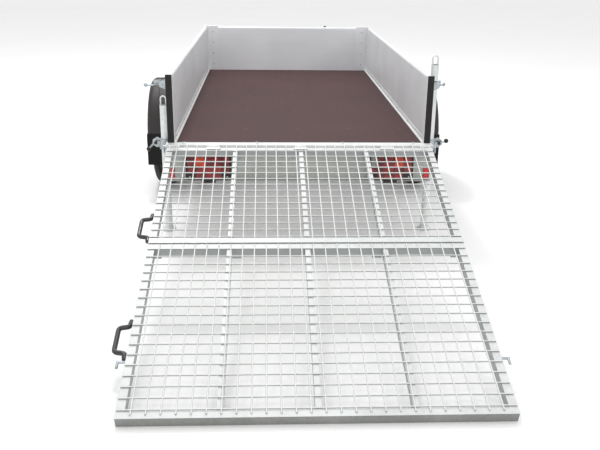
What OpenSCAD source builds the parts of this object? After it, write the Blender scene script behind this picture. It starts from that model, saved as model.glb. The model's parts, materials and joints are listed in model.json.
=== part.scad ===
// Single-axle utility trailer with a fold-down mesh loading ramp.
// X to the right seen from behind, Y forward to the drawbar, Z up, ground at Z = 0.

/* [Bed] */
// Inner length of the load bed
bed_l = 2500; // [1800:10:3200]
// Inner width of the load bed
bed_w = 1300; // [1100:10:1600]
// Height of the floor's top face above the ground
floor_z = 545; // [500:5:650]
// Thickness of the plywood floor
floor_t = 12; // [9:1:21]
// Height of the boards above the floor
board_h = 345; // [250:5:500]
// Thickness of the hollow aluminium boards
board_t = 28; // [20:1:40]
// Width of the two corner pieces in the front wall
corner_w = 90; // [50:5:140]
// How far the plastic end strips and caps stand past the boards
strip_t = 8; // [4:1:12]
// Width of the edge trims along both sides of the floor
trim_w = 13; // [10:1:30]
// Height of the edge trims' upright legs above the floor
trim_h = 24; // [15:1:40]
// Thickness of the edge trims above the floor
trim_t = 3; // [2:1:4]

/* [Chassis] */
// Width of a side rail's flanges
rail_w = 80; // [60:5:100]
// Height of a side rail
rail_h = 90; // [70:5:110]
// Sheet thickness of the folded steel profiles
steel_t = 4; // [3:0.5:6]
// Width of a cross member
cross_w = 50; // [40:5:80]
// Height of a middle cross member
cross_h = 60; // [40:5:65]
// Number of cross members under the floor
cross_count = 5; // [4:1:8]
// Depth of the rear beam, front to back
beam_d = 62; // [40:1:90]
// Height of the rear beam
beam_h = 45; // [35:1:60]
// How far the beam and the lamp plate stand past the boards on each side
beam_over = 10; // [5:1:20]
// Height of the lamp plate under the rear beam
plate_h = 150; // [140:5:200]
// Depth of the lip along the foot of the lamp plate
lip_d = 28; // [15:1:40]

/* [Drawbar] */
// Distance from the bed's front face to the drawbar's tip
drawbar_l = 1070; // [800:10:1500]
// Width of a drawbar arm
arm_w = 50; // [40:5:70]
// Height of a drawbar arm
arm_h = 60; // [50:5:80]
// How far each arm runs back under its side rail
arm_under = 730; // [400:10:1000]
// Radius of the coupling's ball socket
socket_r = 25.1; // [20:0.1:30]
// Height of the socket's centre above the drawbar's top face
socket_up = 30; // [20:1:60]

/* [Wheels] */
// Distance of the axle line from the bed's rear edge
axle_y = 1120; // [800:10:1400]
// Radius of a tyre
tyre_r = 289; // [260:1:330]
// Width of a tyre
tyre_w = 155; // [135:5:185]
// Radius of the rim's seat under the tyre
rim_r = 166; // [150:1:180]
// Gap between a side rail and the mudguard's inner wall
guard_gap = 32; // [20:1:60]
// Width of a mudguard
guard_w = 200; // [180:5:240]
// Inner radius of a mudguard's arch
guard_r = 340; // [320:5:400]
// Height of the arch's centre above the axle line
guard_up = 61; // [40:1:100]
// Wall of a mudguard
guard_t = 5; // [3:1:8]
// Radius of a mudguard's rounded shoulder
guard_round = 35; // [20:1:50]
// Height of the mudguard's outer wall ends above the ground
guard_foot_z = 209; // [150:1:300]
// Height of the ends of the mudguard's crown above the ground
guard_crown_z = 400; // [355:1:450]
// Side of the square axle beam
axle_side = 70; // [60:5:90]
// Length of a swing arm between the axle beam and the stub
swing_l = 180; // [120:5:220]
// Radius of a stub axle
stub_r = 17.5; // [12:0.5:25]
// Radial clearance of a running fit
fit = 0.05; // [0.02:0.01:0.1]

/* [Legs] */
// Radius of a prop leg's tube
leg_r = 20; // [16:1:26]
// Distance of the legs from the bed's rear edge
leg_y = 177; // [80:1:400]
// Gap between a side rail and a leg
leg_gap = 20; // [12:1:40]
// Height of the left leg's tube
left_leg_h = 705; // [600:5:1000]
// Height of the right leg's tube
right_leg_h = 925; // [600:5:1000]
// Radius of a leg's foot
foot_r = 40; // [30:1:60]
// Height of the wire hoop on a leg
hoop_h = 50; // [35:1:80]
// Clearance between a leg and its clamp
leg_clear = 0.3; // [0.2:0.1:0.5]

/* [Ramp] */
// Width of the ramp
ramp_w = 1350; // [1100:10:1500]
// Length of the upper section
upper_l = 780; // [600:10:1000]
// Length of the lower section
lower_l = 920; // [700:10:1100]
// Gap between the two sections
fold_gap = 3; // [2:1:6]
// Height of the ramp's frame
frame_h = 40; // [30:1:50]
// Width of the ramp's side rails
ramp_rail_w = 30; // [25:1:40]
// Width of the rail at the fold
fold_rail_w = 32; // [25:1:40]
// Width of the rail at the ramp's upper end
top_rail_w = 22; // [20:1:30]
// Width of the flat bars between the side rails
bar_w = 22; // [15:1:30]
// Height of the flat bars
bar_h = 30; // [20:1:35]
// Thickness of the mesh's wires
wire = 5; // [3:0.5:6]
// Pitch of the mesh
pitch = 50; // [40:1:60]
// Distance of the first cross wire from each section's upper end
first_wire = 36; // [30:1:50]

/* [Ramp hinges] */
// Radius of the hinge pins at the rear beam
pin_r = 6; // [4:0.5:8]
// Wall of metal round each hinge pin
eye_t = 5; // [4:0.5:6]
// Clearance of the raised ramp from the rear beam
beam_clear = 5; // [5:0.5:10]
// Length of a hinge barrel
barrel_l = 40; // [30:1:60]
// Thickness of a hinge ear
ear_t = 6; // [4:0.5:8]
// Radius of the fold's hinge pins
fold_pin_r = 4; // [3:0.5:6]
// Wall of metal round each fold pin
fold_eye_t = 4; // [3:0.5:5]

/* [Fittings] */
// Width of a tail lamp
lamp_w = 235; // [180:5:260]
// Height of a tail lamp
lamp_h = 134; // [90:1:140]
// Depth of a tail lamp
lamp_d = 42; // [30:1:60]
// Distance from the middle of the trailer to the middle of a lamp
lamp_x = 473; // [350:1:520]
// Width of a rear reflector
reflector_w = 29; // [20:1:50]
// Height of a rear reflector
reflector_h = 62; // [40:1:90]
// Radius of a grab handle's bar
grip_r = 10; // [8:1:14]
// Distance of a handle's bar from the ramp's side
grip_out = 52; // [45:1:70]
// Radius of the jockey wheel
jockey_r = 100; // [80:1:120]
// Width of the jockey wheel
jockey_w = 60; // [40:1:80]
// Outer radius of the jockey stem
stem_r = 24; // [20:1:30]
// Distance of the jockey stem behind the drawbar's tip
stem_back = 440; // [350:10:600]

/* [Hidden] */
$fn = 48;
eps = 0.01;

// Heights of the chassis
frame_top = floor_z - floor_t;
frame_foot = frame_top - rail_h;
board_top = floor_z + board_h;
plate_top = floor_z - beam_h;
plate_foot = plate_top - plate_h;
arm_foot = frame_foot - arm_h;

// Widths of the chassis
bed_x = bed_w / 2;
board_x = bed_x + board_t;
rail_x = board_x + 2;
beam_x = board_x + beam_over;
corner_x = bed_x - corner_w;

// Lengths of the chassis
front_y = bed_l + board_t;
tip_y = front_y + drawbar_l;
tip_x = arm_w / 2 + 10;
arm_start_y = front_y - arm_under;
arm_start_x = rail_x - rail_w / 2;
arm_turn = atan2(arm_start_x - tip_x, tip_y - arm_start_y);
arm_l = norm([arm_start_x - tip_x, tip_y - arm_start_y]);

// Wheels
guard_x0 = rail_x + guard_gap;
guard_x1 = guard_x0 + guard_w;
tyre_clear = 12;
wheel_x = guard_x1 - tyre_clear - tyre_w / 2;
axle_z = tyre_r;
guard_z = axle_z + guard_up;
guard_open = guard_round + 10;
seam_turn = asin((guard_crown_z - guard_z) / (guard_r + guard_t));
beam_axle_z = frame_foot - 20 - axle_side / 2;
swing_turn = asin((beam_axle_z - axle_z) / swing_l);
beam_axle_y = axle_y + swing_l * cos(swing_turn);
swing_x0 = rail_x + 10;
swing_t = 26;
hub_x0 = swing_x0 + swing_t + 5;
hub_x1 = wheel_x + 8;
hub_r = 48;
hub_flange_r = 68;
hub_nose_r = 31.7;
hub_nose_x = wheel_x + 45;
rim_half = tyre_w / 2 - 13;
rim_lip_r = rim_r + 12;

// Legs
leg_x = rail_x + leg_gap + leg_r;
clamp_z = frame_foot + 25;
clamp_h = 55;
clamp_t = 9;

// Ramp: the section's own X to the right, Y up the slope, Z square to the wires' top face
frame_z = -wire;
ramp_t = wire + frame_h;
eye_r = pin_r + eye_t;
pin_up = eye_r + 1.5;
pin_down = 9;
pin_y = -beam_d - norm([pin_up, pin_down]) - beam_clear;
ramp_l = upper_l + fold_gap + lower_l;
ramp_turn = asin(floor_z / norm([ramp_l, ramp_t])) - atan2(ramp_t, ramp_l);
ramp_y = pin_y - pin_up * cos(ramp_turn) - pin_down * sin(ramp_turn);
pin_z = floor_z + pin_up * sin(ramp_turn) - pin_down * cos(ramp_turn);
lower_top = -upper_l - fold_gap;
fold_eye_r = fold_pin_r + fold_eye_t;
fold_y = -upper_l - fold_gap / 2;
fold_z = -ramp_t - fold_eye_r - 0.5;
hinge_end = ramp_w / 2 - 35;
hinge_xs = [-hinge_end, -440, 0, 440, hinge_end];
fold_xs = [-hinge_end, -300, 300, hinge_end];
bar_pitch = (ramp_w - ramp_rail_w) / 4;
handle_v0 = 455;
handle_v1 = 628;
wire_side = (ramp_w - pitch * floor((ramp_w - 80) / pitch)) / 2;

// Jockey wheel, on the outer side of the right drawbar arm
stem_y = tip_y - stem_back;
stem_arm_x = tip_x + stem_back * tan(arm_turn);
stem_x = stem_arm_x + arm_w / 2 / cos(arm_turn) + stem_r + 14;
stem_foot = arm_foot - 2;
stem_top = frame_foot + 320;
inner_r = stem_r - 4.3;
fork_top = jockey_r * 2 + 26;
trail = 40;
jockey_axle_r = 8;

// Tail of the drawbar
nose_t = 8;
nose_l = 230;
head_y = tip_y + 110;
head_z = frame_foot + nose_t + socket_up;
head_r = socket_r + 13;

// The model's middle, front to back
toe_y = ramp_y - ramp_l * cos(ramp_turn);
mid_y = (toe_y + head_y + head_r) / 2;

// Places a piece with the model's middle at the origin, in one colour.
module piece(c) color(c) translate([0, -mid_y, 0]) children();

// Mirrors its children for the left side.
module side(s) {
  if (s < 0) mirror([1, 0, 0]) children();
  else children();
}

// A block between two opposite corners.
module block(a, b) translate(a) cube(b - a);

// A round bar between two points.
module rod(a, b, r) {
  d = b - a;
  translate(a) rotate([0, acos(d.z / norm(d)), atan2(d.y, d.x)]) cylinder(r = r, h = norm(d));
}

// A cylinder along X, starting at a point.
module along_x(p, r, l) translate(p) rotate([0, 90, 0]) cylinder(r = r, h = l);

// A ball at a point.
module ball(p, r) translate(p) sphere(r = r);

// The swollen weld where two bars of one radius meet.
module bend(p, r) ball(p, r + 0.6);

// ---------- Bed ----------

// The plywood lies between the two edge trims.
module floor_panel() piece("#5f4f4f")
  block([-bed_x + trim_w, 0, frame_top], [bed_x - trim_w, bed_l, floor_z]);

// A folded side rail, open towards the middle.
module side_rail(s) piece("#a9adad") side(s) difference() {
  block([rail_x - rail_w, 0, frame_foot], [rail_x, front_y, frame_top]);
  block([rail_x - rail_w - 1, -1, frame_foot + steel_t],
        [rail_x - steel_t, front_y + 1, frame_top - steel_t]);
}

module left_side_rail() side_rail(-1);

module right_side_rail() side_rail(1);

// Members under the floor; the front one is as deep as the side rails.
module cross_members() piece("#a9adad") {
  x = rail_x - rail_w;
  for (i = [0 : cross_count - 1]) {
    last = i == cross_count - 1;
    y = last ? front_y - cross_w : (i + 0.6) * bed_l / cross_count;
    foot = last ? frame_foot : frame_top - cross_h;
    difference() {
      block([-x, y, foot], [x, y + cross_w, frame_top]);
      block([-x - 1, y + steel_t, foot - 1], [x + 1, y + cross_w - steel_t, frame_top - steel_t]);
    }
  }
}

// The ramp's ears on the rear beam.
module hinge_ears() {
  for (x = hinge_xs, s = [-1, 1])
    translate([x + s * (barrel_l + ear_t + 1) / 2 - ear_t / 2, 0, 0]) {
      along_x([0, pin_y, pin_z], eye_r, ear_t);
      block([0, pin_y, pin_z - eye_r], [ear_t, -beam_d + eps, pin_z]);
    }
}

// A folded beam, open to the front, with the ears for the ramp's hinge pins.
module rear_beam() piece("#b4b8b8") {
  difference() {
    block([-beam_x, -beam_d, plate_top], [beam_x, 0, floor_z]);
    block([-beam_x - 1, -beam_d + steel_t, plate_top + steel_t], [beam_x + 1, 1, floor_z - steel_t]);
  }
  difference() {
    hinge_ears();
    for (x = hinge_xs) along_x([x - barrel_l, pin_y, pin_z], pin_r + fit, barrel_l * 2);
  }
}

module lamp_plate() piece("#9fa3a2") {
  y = -beam_d / 3;
  block([-beam_x, y, plate_foot], [beam_x, y + steel_t, plate_top]);
  block([-beam_x, y - lip_d, plate_foot], [beam_x, y, plate_foot + steel_t]);
  block([-beam_x, y, plate_top - steel_t], [beam_x, 0, plate_top]);
}

// A board with its rounded top bead.
module board(a, b, along) {
  bead = board_t / 2;
  block(a, [b.x, b.y, b.z - bead]);
  if (along == "y") translate([a.x + bead, a.y, b.z - bead]) rotate([-90, 0, 0])
    cylinder(r = bead, h = b.y - a.y);
  else translate([a.x, a.y + bead, b.z - bead]) rotate([0, 90, 0]) cylinder(r = bead, h = b.x - a.x);
}

module side_board(s) piece("#aeb1b3") side(s)
  board([bed_x, 0, frame_top], [board_x, front_y, board_top], "y");

module left_side_board() side_board(-1);

module right_side_board() side_board(1);

module front_board() piece("#aeb1b3")
  board([-corner_x, bed_l, frame_top], [corner_x, front_y, board_top], "x");

module front_corner(s) piece("#b5b8ba") side(s)
  block([corner_x, bed_l, frame_top], [bed_x, front_y, board_top]);

module left_front_corner() front_corner(-1);

module right_front_corner() front_corner(1);

module rear_strip(s) piece("#1f1b1b") side(s)
  block([bed_x + 1, -strip_t, floor_z], [board_x, 0, board_top + 2]);

module left_rear_strip() rear_strip(-1);

module right_rear_strip() rear_strip(1);

module floor_trims() piece("#c9cbcb") for (s = [-1, 1]) side(s) {
  block([bed_x - trim_w, 0, frame_top], [bed_x, bed_l, floor_z + trim_t]);
  block([bed_x - trim_t, 0, floor_z], [bed_x, bed_l, floor_z + trim_h]);
}

// ---------- Drawbar ----------

module arm_bar() translate([arm_start_x, arm_start_y, arm_foot]) rotate([0, 0, arm_turn])
  translate([-arm_w / 2, 0, 0]) cube([arm_w, arm_l, arm_h]);

// An arm, trimmed at the middle so that the two meet there.
module drawbar_arm(s) piece("#a9adad") side(s) intersection() {
  arm_bar();
  block([0, arm_start_y - 100, arm_foot - 1], [rail_x, tip_y, arm_foot + arm_h + 1]);
}

module left_drawbar_arm() drawbar_arm(-1);

module right_drawbar_arm() drawbar_arm(1);

// Two plates that clamp the arms' tips.
module drawbar_nose() piece("#9fa3a2") {
  back = tip_x + arm_w / 2 + nose_l * tan(arm_turn);
  front = tip_x + arm_w / 2;
  for (z = [arm_foot - nose_t, frame_foot]) translate([0, 0, z]) linear_extrude(nose_t)
    polygon([[-back, tip_y - nose_l], [back, tip_y - nose_l], [front, tip_y], [-front, tip_y]]);
}

// A pressed ball coupling on the nose plates, with its socket open downwards.
module coupling_head() piece("#6f7375") difference() {
  base = frame_foot + nose_t;
  skirt = socket_up;
  union() {
    block([-30, tip_y - nose_l + 30, base], [30, tip_y - 10, base + 52]);
    block([-24, tip_y - 10, base], [24, head_y, base + 46]);
    translate([0, head_y, head_z - skirt]) cylinder(r = head_r, h = skirt);
    ball([0, head_y, head_z], head_r);
  }
  translate([0, head_y, head_z - 2 * skirt]) cylinder(r = socket_r, h = 2 * skirt);
  ball([0, head_y, head_z], socket_r);
}

module coupling_lever() piece("#c5272d") {
  half = 9;
  z = head_z + head_r;
  grip_z = z + 14;
  block([-half, head_y - 12, z + 0.5], [half, head_y + 12, grip_z]);
  block([-half, head_y - 150, grip_z], [half, head_y + 12, grip_z + 10]);
}

// ---------- Axle and wheels ----------

// A torsion axle's cross tube with its mounting plates.
module axle_beam() piece("#8f9494") {
  half = axle_side / 2;
  top = beam_axle_z + half;
  end = swing_x0 - 2;
  block([-end, beam_axle_y - half, beam_axle_z - half], [end, beam_axle_y + half, top]);
  for (s = [-1, 1]) side(s)
    block([rail_x - rail_w + 5, beam_axle_y - axle_side, top],
          [rail_x - 5, beam_axle_y + axle_side, frame_foot]);
}

// The swing arm with its stub axle.
module axle_arm(s) piece("#7c8182") side(s) {
  beam_eye_r = 30;
  stub_eye_r = 34;
  web_h = 48;
  along_x([swing_x0 - 2, beam_axle_y, beam_axle_z], beam_eye_r, swing_t + 2);
  along_x([swing_x0, axle_y, axle_z], stub_eye_r, swing_t);
  translate([swing_x0 + 1, axle_y, axle_z]) rotate([swing_turn, 0, 0]) translate([0, 5, -web_h / 2])
    cube([swing_t - 2, swing_l - 10, web_h]);
  along_x([swing_x0 + 2, axle_y, axle_z], stub_r, hub_x1 - swing_x0 + 18);
}

module left_axle_arm() axle_arm(-1);

module right_axle_arm() axle_arm(1);

// Half of a tyre's section, as a rounded arc from bead to crown.
function tyre_arc(n) = [for (i = [0 : n])
  let (t = 90 * i / n, power = 2 / 2.7)
    [rim_r + (tyre_r - rim_r) * (0.42 + 0.58 * pow(sin(t), power)), tyre_w / 2 * pow(cos(t), power)]];

module tyre(s) piece("#232323") side(s) translate([wheel_x, axle_y, axle_z]) rotate([0, 90, 0])
  rotate_extrude($fn = 96) {
    arc = tyre_arc(10);
    mirrored = [for (i = [len(arc) - 2 : -1 : 0]) [arc[i].x, -arc[i].y]];
    bead = rim_half - 0.3;
    seat = rim_r + 0.3;
    lip = rim_lip_r + 0.5;
    polygon(concat([[lip, -rim_half - 2], [lip, -bead], [seat, -bead], [seat, bead], [lip, bead],
                    [lip, rim_half + 2]], arc, mirrored));
  }

module left_tyre() tyre(-1);

module right_tyre() tyre(1);

// A pressed steel wheel; its disc is bolted to the hub's flange.
module rim(s) piece("#c9cdd0") side(s) translate([wheel_x, axle_y, axle_z]) rotate([0, 90, 0])
  difference() {
    sheet = 4;
    hole_r = 32;
    seat = [61, hub_x1 - wheel_x];
    bowl = [100, 17];
    crest = [122, 40];
    edge = [rim_r - 3, 29];
    vent_r = 134;
    bolt_circle_r = 50;
    rotate_extrude($fn = 96) {
      translate([rim_r - sheet, -rim_half]) square([sheet, 2 * rim_half]);
      for (m = [-1, 1]) translate([rim_r - sheet, m * (rim_half + sheet / 2) - sheet / 2])
        square([rim_lip_r - rim_r + sheet, sheet]);
      polygon([edge + [0, -7], edge + [0, 7], crest + [-2, 4], bowl + [-4, 3], seat + [-1, 6],
               [hole_r, seat.y + 6], [hole_r, seat.y], seat + [1, 0], bowl + [4, -3], crest + [2, -4]]);
    }
    for (a = [0 : 36 : 324]) rotate([0, 0, a]) translate([vent_r, 0, 0]) cylinder(r = 9, h = 60);
    for (a = [45 : 90 : 315]) rotate([0, 0, a]) translate([bolt_circle_r, 0, 0]) cylinder(r = 6.5, h = 60);
  }

module left_rim() rim(-1);

module right_rim() rim(1);

// The hub turns on the stub axle; its nose passes through the wheel's disc.
module hub(s) piece("#8a8f91") side(s) difference() {
  union() {
    along_x([hub_x0, axle_y, axle_z], hub_r, hub_x1 - hub_x0);
    along_x([hub_x1 - 12, axle_y, axle_z], hub_flange_r, 12);
    along_x([hub_x1, axle_y, axle_z], hub_nose_r, hub_nose_x - hub_x1);
  }
  along_x([hub_x0 - 1, axle_y, axle_z], stub_r + fit, hub_x1 - hub_x0 + 22 + 1);
}

module left_hub() hub(-1);

module right_hub() hub(1);

// The rounded shoulder and outer wall of a mudguard, in section.
module guard_shoulder() {
  r = guard_r + guard_t;
  translate([r - guard_round, guard_w - guard_round]) intersection() {
    difference() {
      circle(r = guard_round);
      circle(r = guard_round - guard_t);
    }
    square(guard_round + 1);
  }
  translate([r - guard_open, guard_w - guard_t]) square([guard_open - guard_round, guard_t]);
}

// The crown and inner wall of a mudguard, in section.
module guard_crown() {
  translate([guard_r, 0]) square([guard_t, guard_w - guard_round]);
  translate([guard_r - 20, 0]) square([20 + guard_t, guard_t]);
}

// An arch whose outer wall runs further down than its crown.
module mudguard(s) piece("#262321") side(s) translate([guard_x0, axle_y, guard_z]) {
  rotate([90, 0, 90]) {
    rotate_extrude(angle = 180, $fn = 96) guard_shoulder();
    rotate([0, 0, seam_turn]) rotate_extrude(angle = 180 - 2 * seam_turn, $fn = 96) guard_crown();
  }
  for (m = [0, 1]) mirror([0, m, 0]) translate([0, 0, guard_foot_z - guard_z])
    linear_extrude(guard_z - guard_foot_z) rotate([0, 0, 90]) mirror([0, 1, 0]) guard_shoulder();
}

module left_mudguard() mudguard(-1);

module right_mudguard() mudguard(1);

module mudguard_brackets() piece("#8f9494") for (s = [-1, 1], m = [-1, 1]) side(s) {
  z = frame_top - 45;
  reach = sqrt(pow(guard_r - 6, 2) - pow(z + 15 - guard_z, 2));
  block([rail_x, axle_y + m * reach - 15, z], [guard_x0, axle_y + m * reach + 15, z + 30]);
}

// ---------- Rear fittings ----------

lamp_y = -beam_d / 3;
lamp_z = plate_top - 6 - lamp_h;

module lamp_body() {
  r = 18;
  x = lamp_w / 2 - r;
  for (i = [-1, 1]) translate([i * x, 0, 0]) {
    translate([0, 0, r]) rotate([90, 0, 0]) cylinder(r = r, h = lamp_d);
    translate([0, 0, lamp_h - r]) rotate([90, 0, 0]) cylinder(r = r, h = lamp_d);
    block([-r, -lamp_d, r], [r, 0, lamp_h - r]);
  }
  block([-x, -lamp_d, 0], [x, 0, lamp_h]);
}

module tail_lamp(s) piece("#201c1c") side(s) translate([lamp_x, lamp_y, lamp_z]) {
  lamp_body();
  block([-35, -lamp_d + 1, -16], [35, -lip_d - 1, 0]);
}

module left_tail_lamp() tail_lamp(-1);

module right_tail_lamp() tail_lamp(1);

module lamp_lenses() piece("#b01015") for (s = [-1, 1]) side(s)
  translate([lamp_x, lamp_y - lamp_d, lamp_z]) {
    block([-lamp_w / 2 + 10, -5, 14], [lamp_w / 2 - 10, 0, lamp_h - 10]);
  }

module rear_reflectors() piece("#d40014") for (s = [-1, 1]) side(s) {
  x = beam_x - 6 - reflector_w;
  block([x, lamp_y - 6, plate_foot + 6], [x + reflector_w, lamp_y, plate_foot + 6 + reflector_h]);
}

// A clamp round a prop leg, with its lever and ball knob.
module leg_clamp(s) piece("#b9bec0") side(s) {
  r = leg_r + leg_clear;
  knob = [leg_x + 90, leg_y, clamp_z + (s < 0 ? -4 : 44)];
  elbow = [leg_x + 58, leg_y - 4, clamp_z + 32];
  start = [leg_x + r + clamp_t - 2, leg_y - 4, clamp_z + 34];
  difference() {
    union() {
      translate([leg_x, leg_y, clamp_z]) cylinder(r = r + clamp_t, h = clamp_h);
      block([rail_x, leg_y - 22, clamp_z], [leg_x, leg_y + 22, clamp_z + clamp_h]);
      rod(start, elbow, 5);
      bend(elbow, 5);
      rod(elbow, knob, 5);
      ball(knob, 12);
    }
    translate([leg_x, leg_y, clamp_z - 1]) cylinder(r = r, h = clamp_h + 2);
  }
}

module left_leg_clamp() leg_clamp(-1);

module right_leg_clamp() leg_clamp(1);

// A prop leg: tube, dished foot and a wire hoop on top.
module leg(s, top) piece("#a5aaab") side(s) translate([leg_x, leg_y, 0]) {
  hoop_r = leg_r - 6;
  bar = 4;
  rotate_extrude() polygon([[0, 0], [foot_r - 8, 0], [foot_r, 3], [foot_r, 7], [leg_r + 4, 16],
                            [leg_r + 4, 24], [0, 24]]);
  cylinder(r = leg_r, h = top);
  for (m = [-1, 1]) translate([m * hoop_r, 0, top - 1]) cylinder(r = bar, h = hoop_h - hoop_r - bar + 1);
  translate([0, 0, top + hoop_h - hoop_r - bar]) rotate([90, 0, 0])
    rotate_extrude(angle = 180) translate([hoop_r, 0]) circle(r = bar);
}

module left_leg() leg(-1, left_leg_h);

module right_leg() leg(1, right_leg_h);

// An over-centre latch on a board's rear end.
module ramp_latch(s) piece("#c9d3dd") side(s) {
  y = 25;
  z = board_top - 52;
  plate_x = board_x + 5;
  body_x = board_x + 34;
  knob_x = board_x + 92;
  block([board_x, y - 21, z - 22], [plate_x, y + 21, z + 36]);
  block([plate_x, y - 15, z - 16], [body_x, y + 15, z + 8]);
  along_x([plate_x, y, z + 8], 12, 26);
  block([body_x, y - 6, z - 6], [knob_x, y + 6, z + 6]);
  along_x([knob_x, y, z], 9, 34);
}

module left_ramp_latch() ramp_latch(-1);

module right_ramp_latch() ramp_latch(1);

// ---------- Jockey wheel ----------

// A bracket on the drawbar arm, bored for the stem.
module jockey_clamp() piece("#8f9494") difference() {
  union() {
    translate([stem_x, stem_y, arm_foot + 6]) cylinder(r = stem_r + 9, h = arm_h - 12);
    block([stem_arm_x, stem_y - 20, arm_foot + 6], [stem_x, stem_y + 20, arm_foot + arm_h - 6]);
  }
  arm_bar();
  block([0, stem_y - 200, arm_foot - 1], [stem_arm_x + 8, stem_y + 200, arm_foot + arm_h + 1]);
  translate([stem_x, stem_y, arm_foot]) cylinder(r = stem_r, h = arm_h);
}

// The outer tube with its top cap and crank.
module jockey_stem() piece("#b4b8b8") {
  tube_h = stem_top - stem_foot;
  cap = 10;
  crank_z = stem_top + 18;
  crank_x = stem_x + 104;
  translate([stem_x, stem_y, stem_foot]) difference() {
    cylinder(r = stem_r, h = tube_h);
    translate([0, 0, -1]) cylinder(r = inner_r + 0.3, h = tube_h - cap + 1);
  }
  translate([stem_x, stem_y, stem_top]) cylinder(r = 8, h = 24);
  rod([stem_x, stem_y, crank_z], [crank_x + 6, stem_y, crank_z], 6);
  rod([crank_x, stem_y, crank_z - 6], [crank_x, stem_y, crank_z + 62], 6);
  translate([crank_x, stem_y, crank_z + 6]) cylinder(r = 11, h = 60);
}

module jockey_inner_tube() piece("#c5cacc") translate([stem_x, stem_y, fork_top + 0.3])
  cylinder(r = inner_r, h = stem_foot + 190 - fork_top);

// A fork that trails behind the stem, with the wheel's axle.
module jockey_fork() piece("#9fa3a2") translate([stem_x, stem_y, 0]) {
  half = jockey_w / 2 + 6;
  cheek = 5;
  translate([0, 0, fork_top - 8]) cylinder(r = 34, h = 8);
  block([-half - cheek, -trail - 18, fork_top - 14], [half + cheek, 24, fork_top - 8]);
  for (m = [0, 1]) mirror([m, 0, 0]) {
    along_x([half, -trail, jockey_r], 20, cheek);
    block([half, -trail - 18, jockey_r], [half + cheek, -trail + 18, fork_top - 8]);
  }
  along_x([-half - cheek, -trail, jockey_r], jockey_axle_r, 2 * (half + cheek));
}

// A solid rubber tyre on a disc with a long boss.
module jockey_wheel() piece("#2b2b2b") translate([stem_x, stem_y - trail, jockey_r]) rotate([0, 90, 0])
  rotate_extrude($fn = 72) {
    bore = jockey_axle_r + fit;
    boss = [30, jockey_w / 2];
    disc = 12;
    wall = [64, jockey_w / 2 - 4];
    tread = jockey_w / 2 - 12;
    shoulder = jockey_r - 10;
    polygon([[bore, -boss.y], [boss.x, -boss.y], [boss.x + 4, -disc], [wall.x - 6, -disc],
             [wall.x, -wall.y], [shoulder, -wall.y], [jockey_r, -tread], [jockey_r, tread],
             [shoulder, wall.y], wall, [wall.x - 6, disc], [boss.x + 4, disc], boss, [bore, boss.y]]);
  }

// ---------- Ramp ----------

// Places a piece that is drawn in the ramp's own frame.
module on_ramp() translate([0, ramp_y, floor_z]) rotate([ramp_turn, 0, 0]) children();

// The hinge pins at the rear beam; the outer two end in pull rings.
module ramp_hinge_pins() piece("#c9d3dd") {
  half = (barrel_l + 1) / 2 + ear_t;
  for (x = hinge_xs) along_x([x - half, pin_y, pin_z], pin_r, 2 * half);
  for (s = [-1, 1]) side(s) {
    x = hinge_xs[len(hinge_xs) - 1] + half;
    end = beam_x + 8;
    along_x([x, pin_y, pin_z], pin_r, end - x);
    translate([end - 4, pin_y, pin_z - 14]) rotate([0, 90, 0])
      rotate_extrude() translate([14, 0]) circle(r = 2.5);
  }
}

// A barrel on the ramp's upper end, with the web that carries it.
module hinge_barrel(x) {
  difference() {
    union() {
      along_x([x - barrel_l / 2, pin_up, -pin_down], eye_r, barrel_l);
      block([x - barrel_l / 2, 0, -pin_down - eye_r], [x + barrel_l / 2, pin_up, -wire]);
    }
    along_x([x - barrel_l, pin_up, -pin_down], pin_r + fit, barrel_l * 2);
  }
}

// The side rails, bars and end rails of one section.
module section_frame(top, length, top_w, end_w, end_z) {
  x = ramp_w / 2;
  foot = top - length;
  for (m = [0, 1]) mirror([m, 0, 0]) block([x - ramp_rail_w, foot, -ramp_t], [x, top, frame_z]);
  block([-x, top - top_w, -ramp_t], [x, top, frame_z]);
  block([-x, foot, -ramp_t], [x, foot + end_w, end_z]);
  for (i = [-1 : 1])
    block([i * bar_pitch - bar_w / 2, foot, frame_z - bar_h], [i * bar_pitch + bar_w / 2, top, frame_z]);
}

module upper_ramp_frame() piece("#e6e8e8") on_ramp() {
  section_frame(0, upper_l, top_rail_w, fold_rail_w, 0);
  for (x = hinge_xs) hinge_barrel(x);
  difference() {
    for (x = fold_xs, s = [-1, 1])
      translate([x + s * (barrel_l + ear_t + 1) / 2 - ear_t / 2, 0, 0]) {
      along_x([0, fold_y, fold_z], fold_eye_r, ear_t);
      block([0, fold_y - fold_eye_r + 6, fold_z], [ear_t, fold_y, fold_z + 2]);
      block([0, fold_y, fold_z - fold_eye_r], [ear_t, fold_y + fold_rail_w - 2, -ramp_t]);
    }
    for (x = fold_xs) along_x([x - barrel_l, fold_y, fold_z], fold_pin_r + fit, barrel_l * 2);
  }
}

module lower_ramp_frame() piece("#e6e8e8") on_ramp() {
  half = barrel_l / 2;
  back = fold_y - fold_rail_w + 2;
  section_frame(lower_top, lower_l, fold_rail_w, ramp_rail_w, frame_z);
  for (x = fold_xs) difference() {
    union() {
      along_x([x - half, fold_y, fold_z], fold_eye_r, barrel_l);
      block([x - half, back, fold_z - fold_eye_r], [x + half, fold_y, -ramp_t - 0.4]);
      block([x - half, back, -ramp_t - 0.5], [x + half, lower_top - 1, -ramp_t]);
    }
    along_x([x - barrel_l, fold_y, fold_z], fold_pin_r + fit, barrel_l * 2);
  }
}

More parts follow.
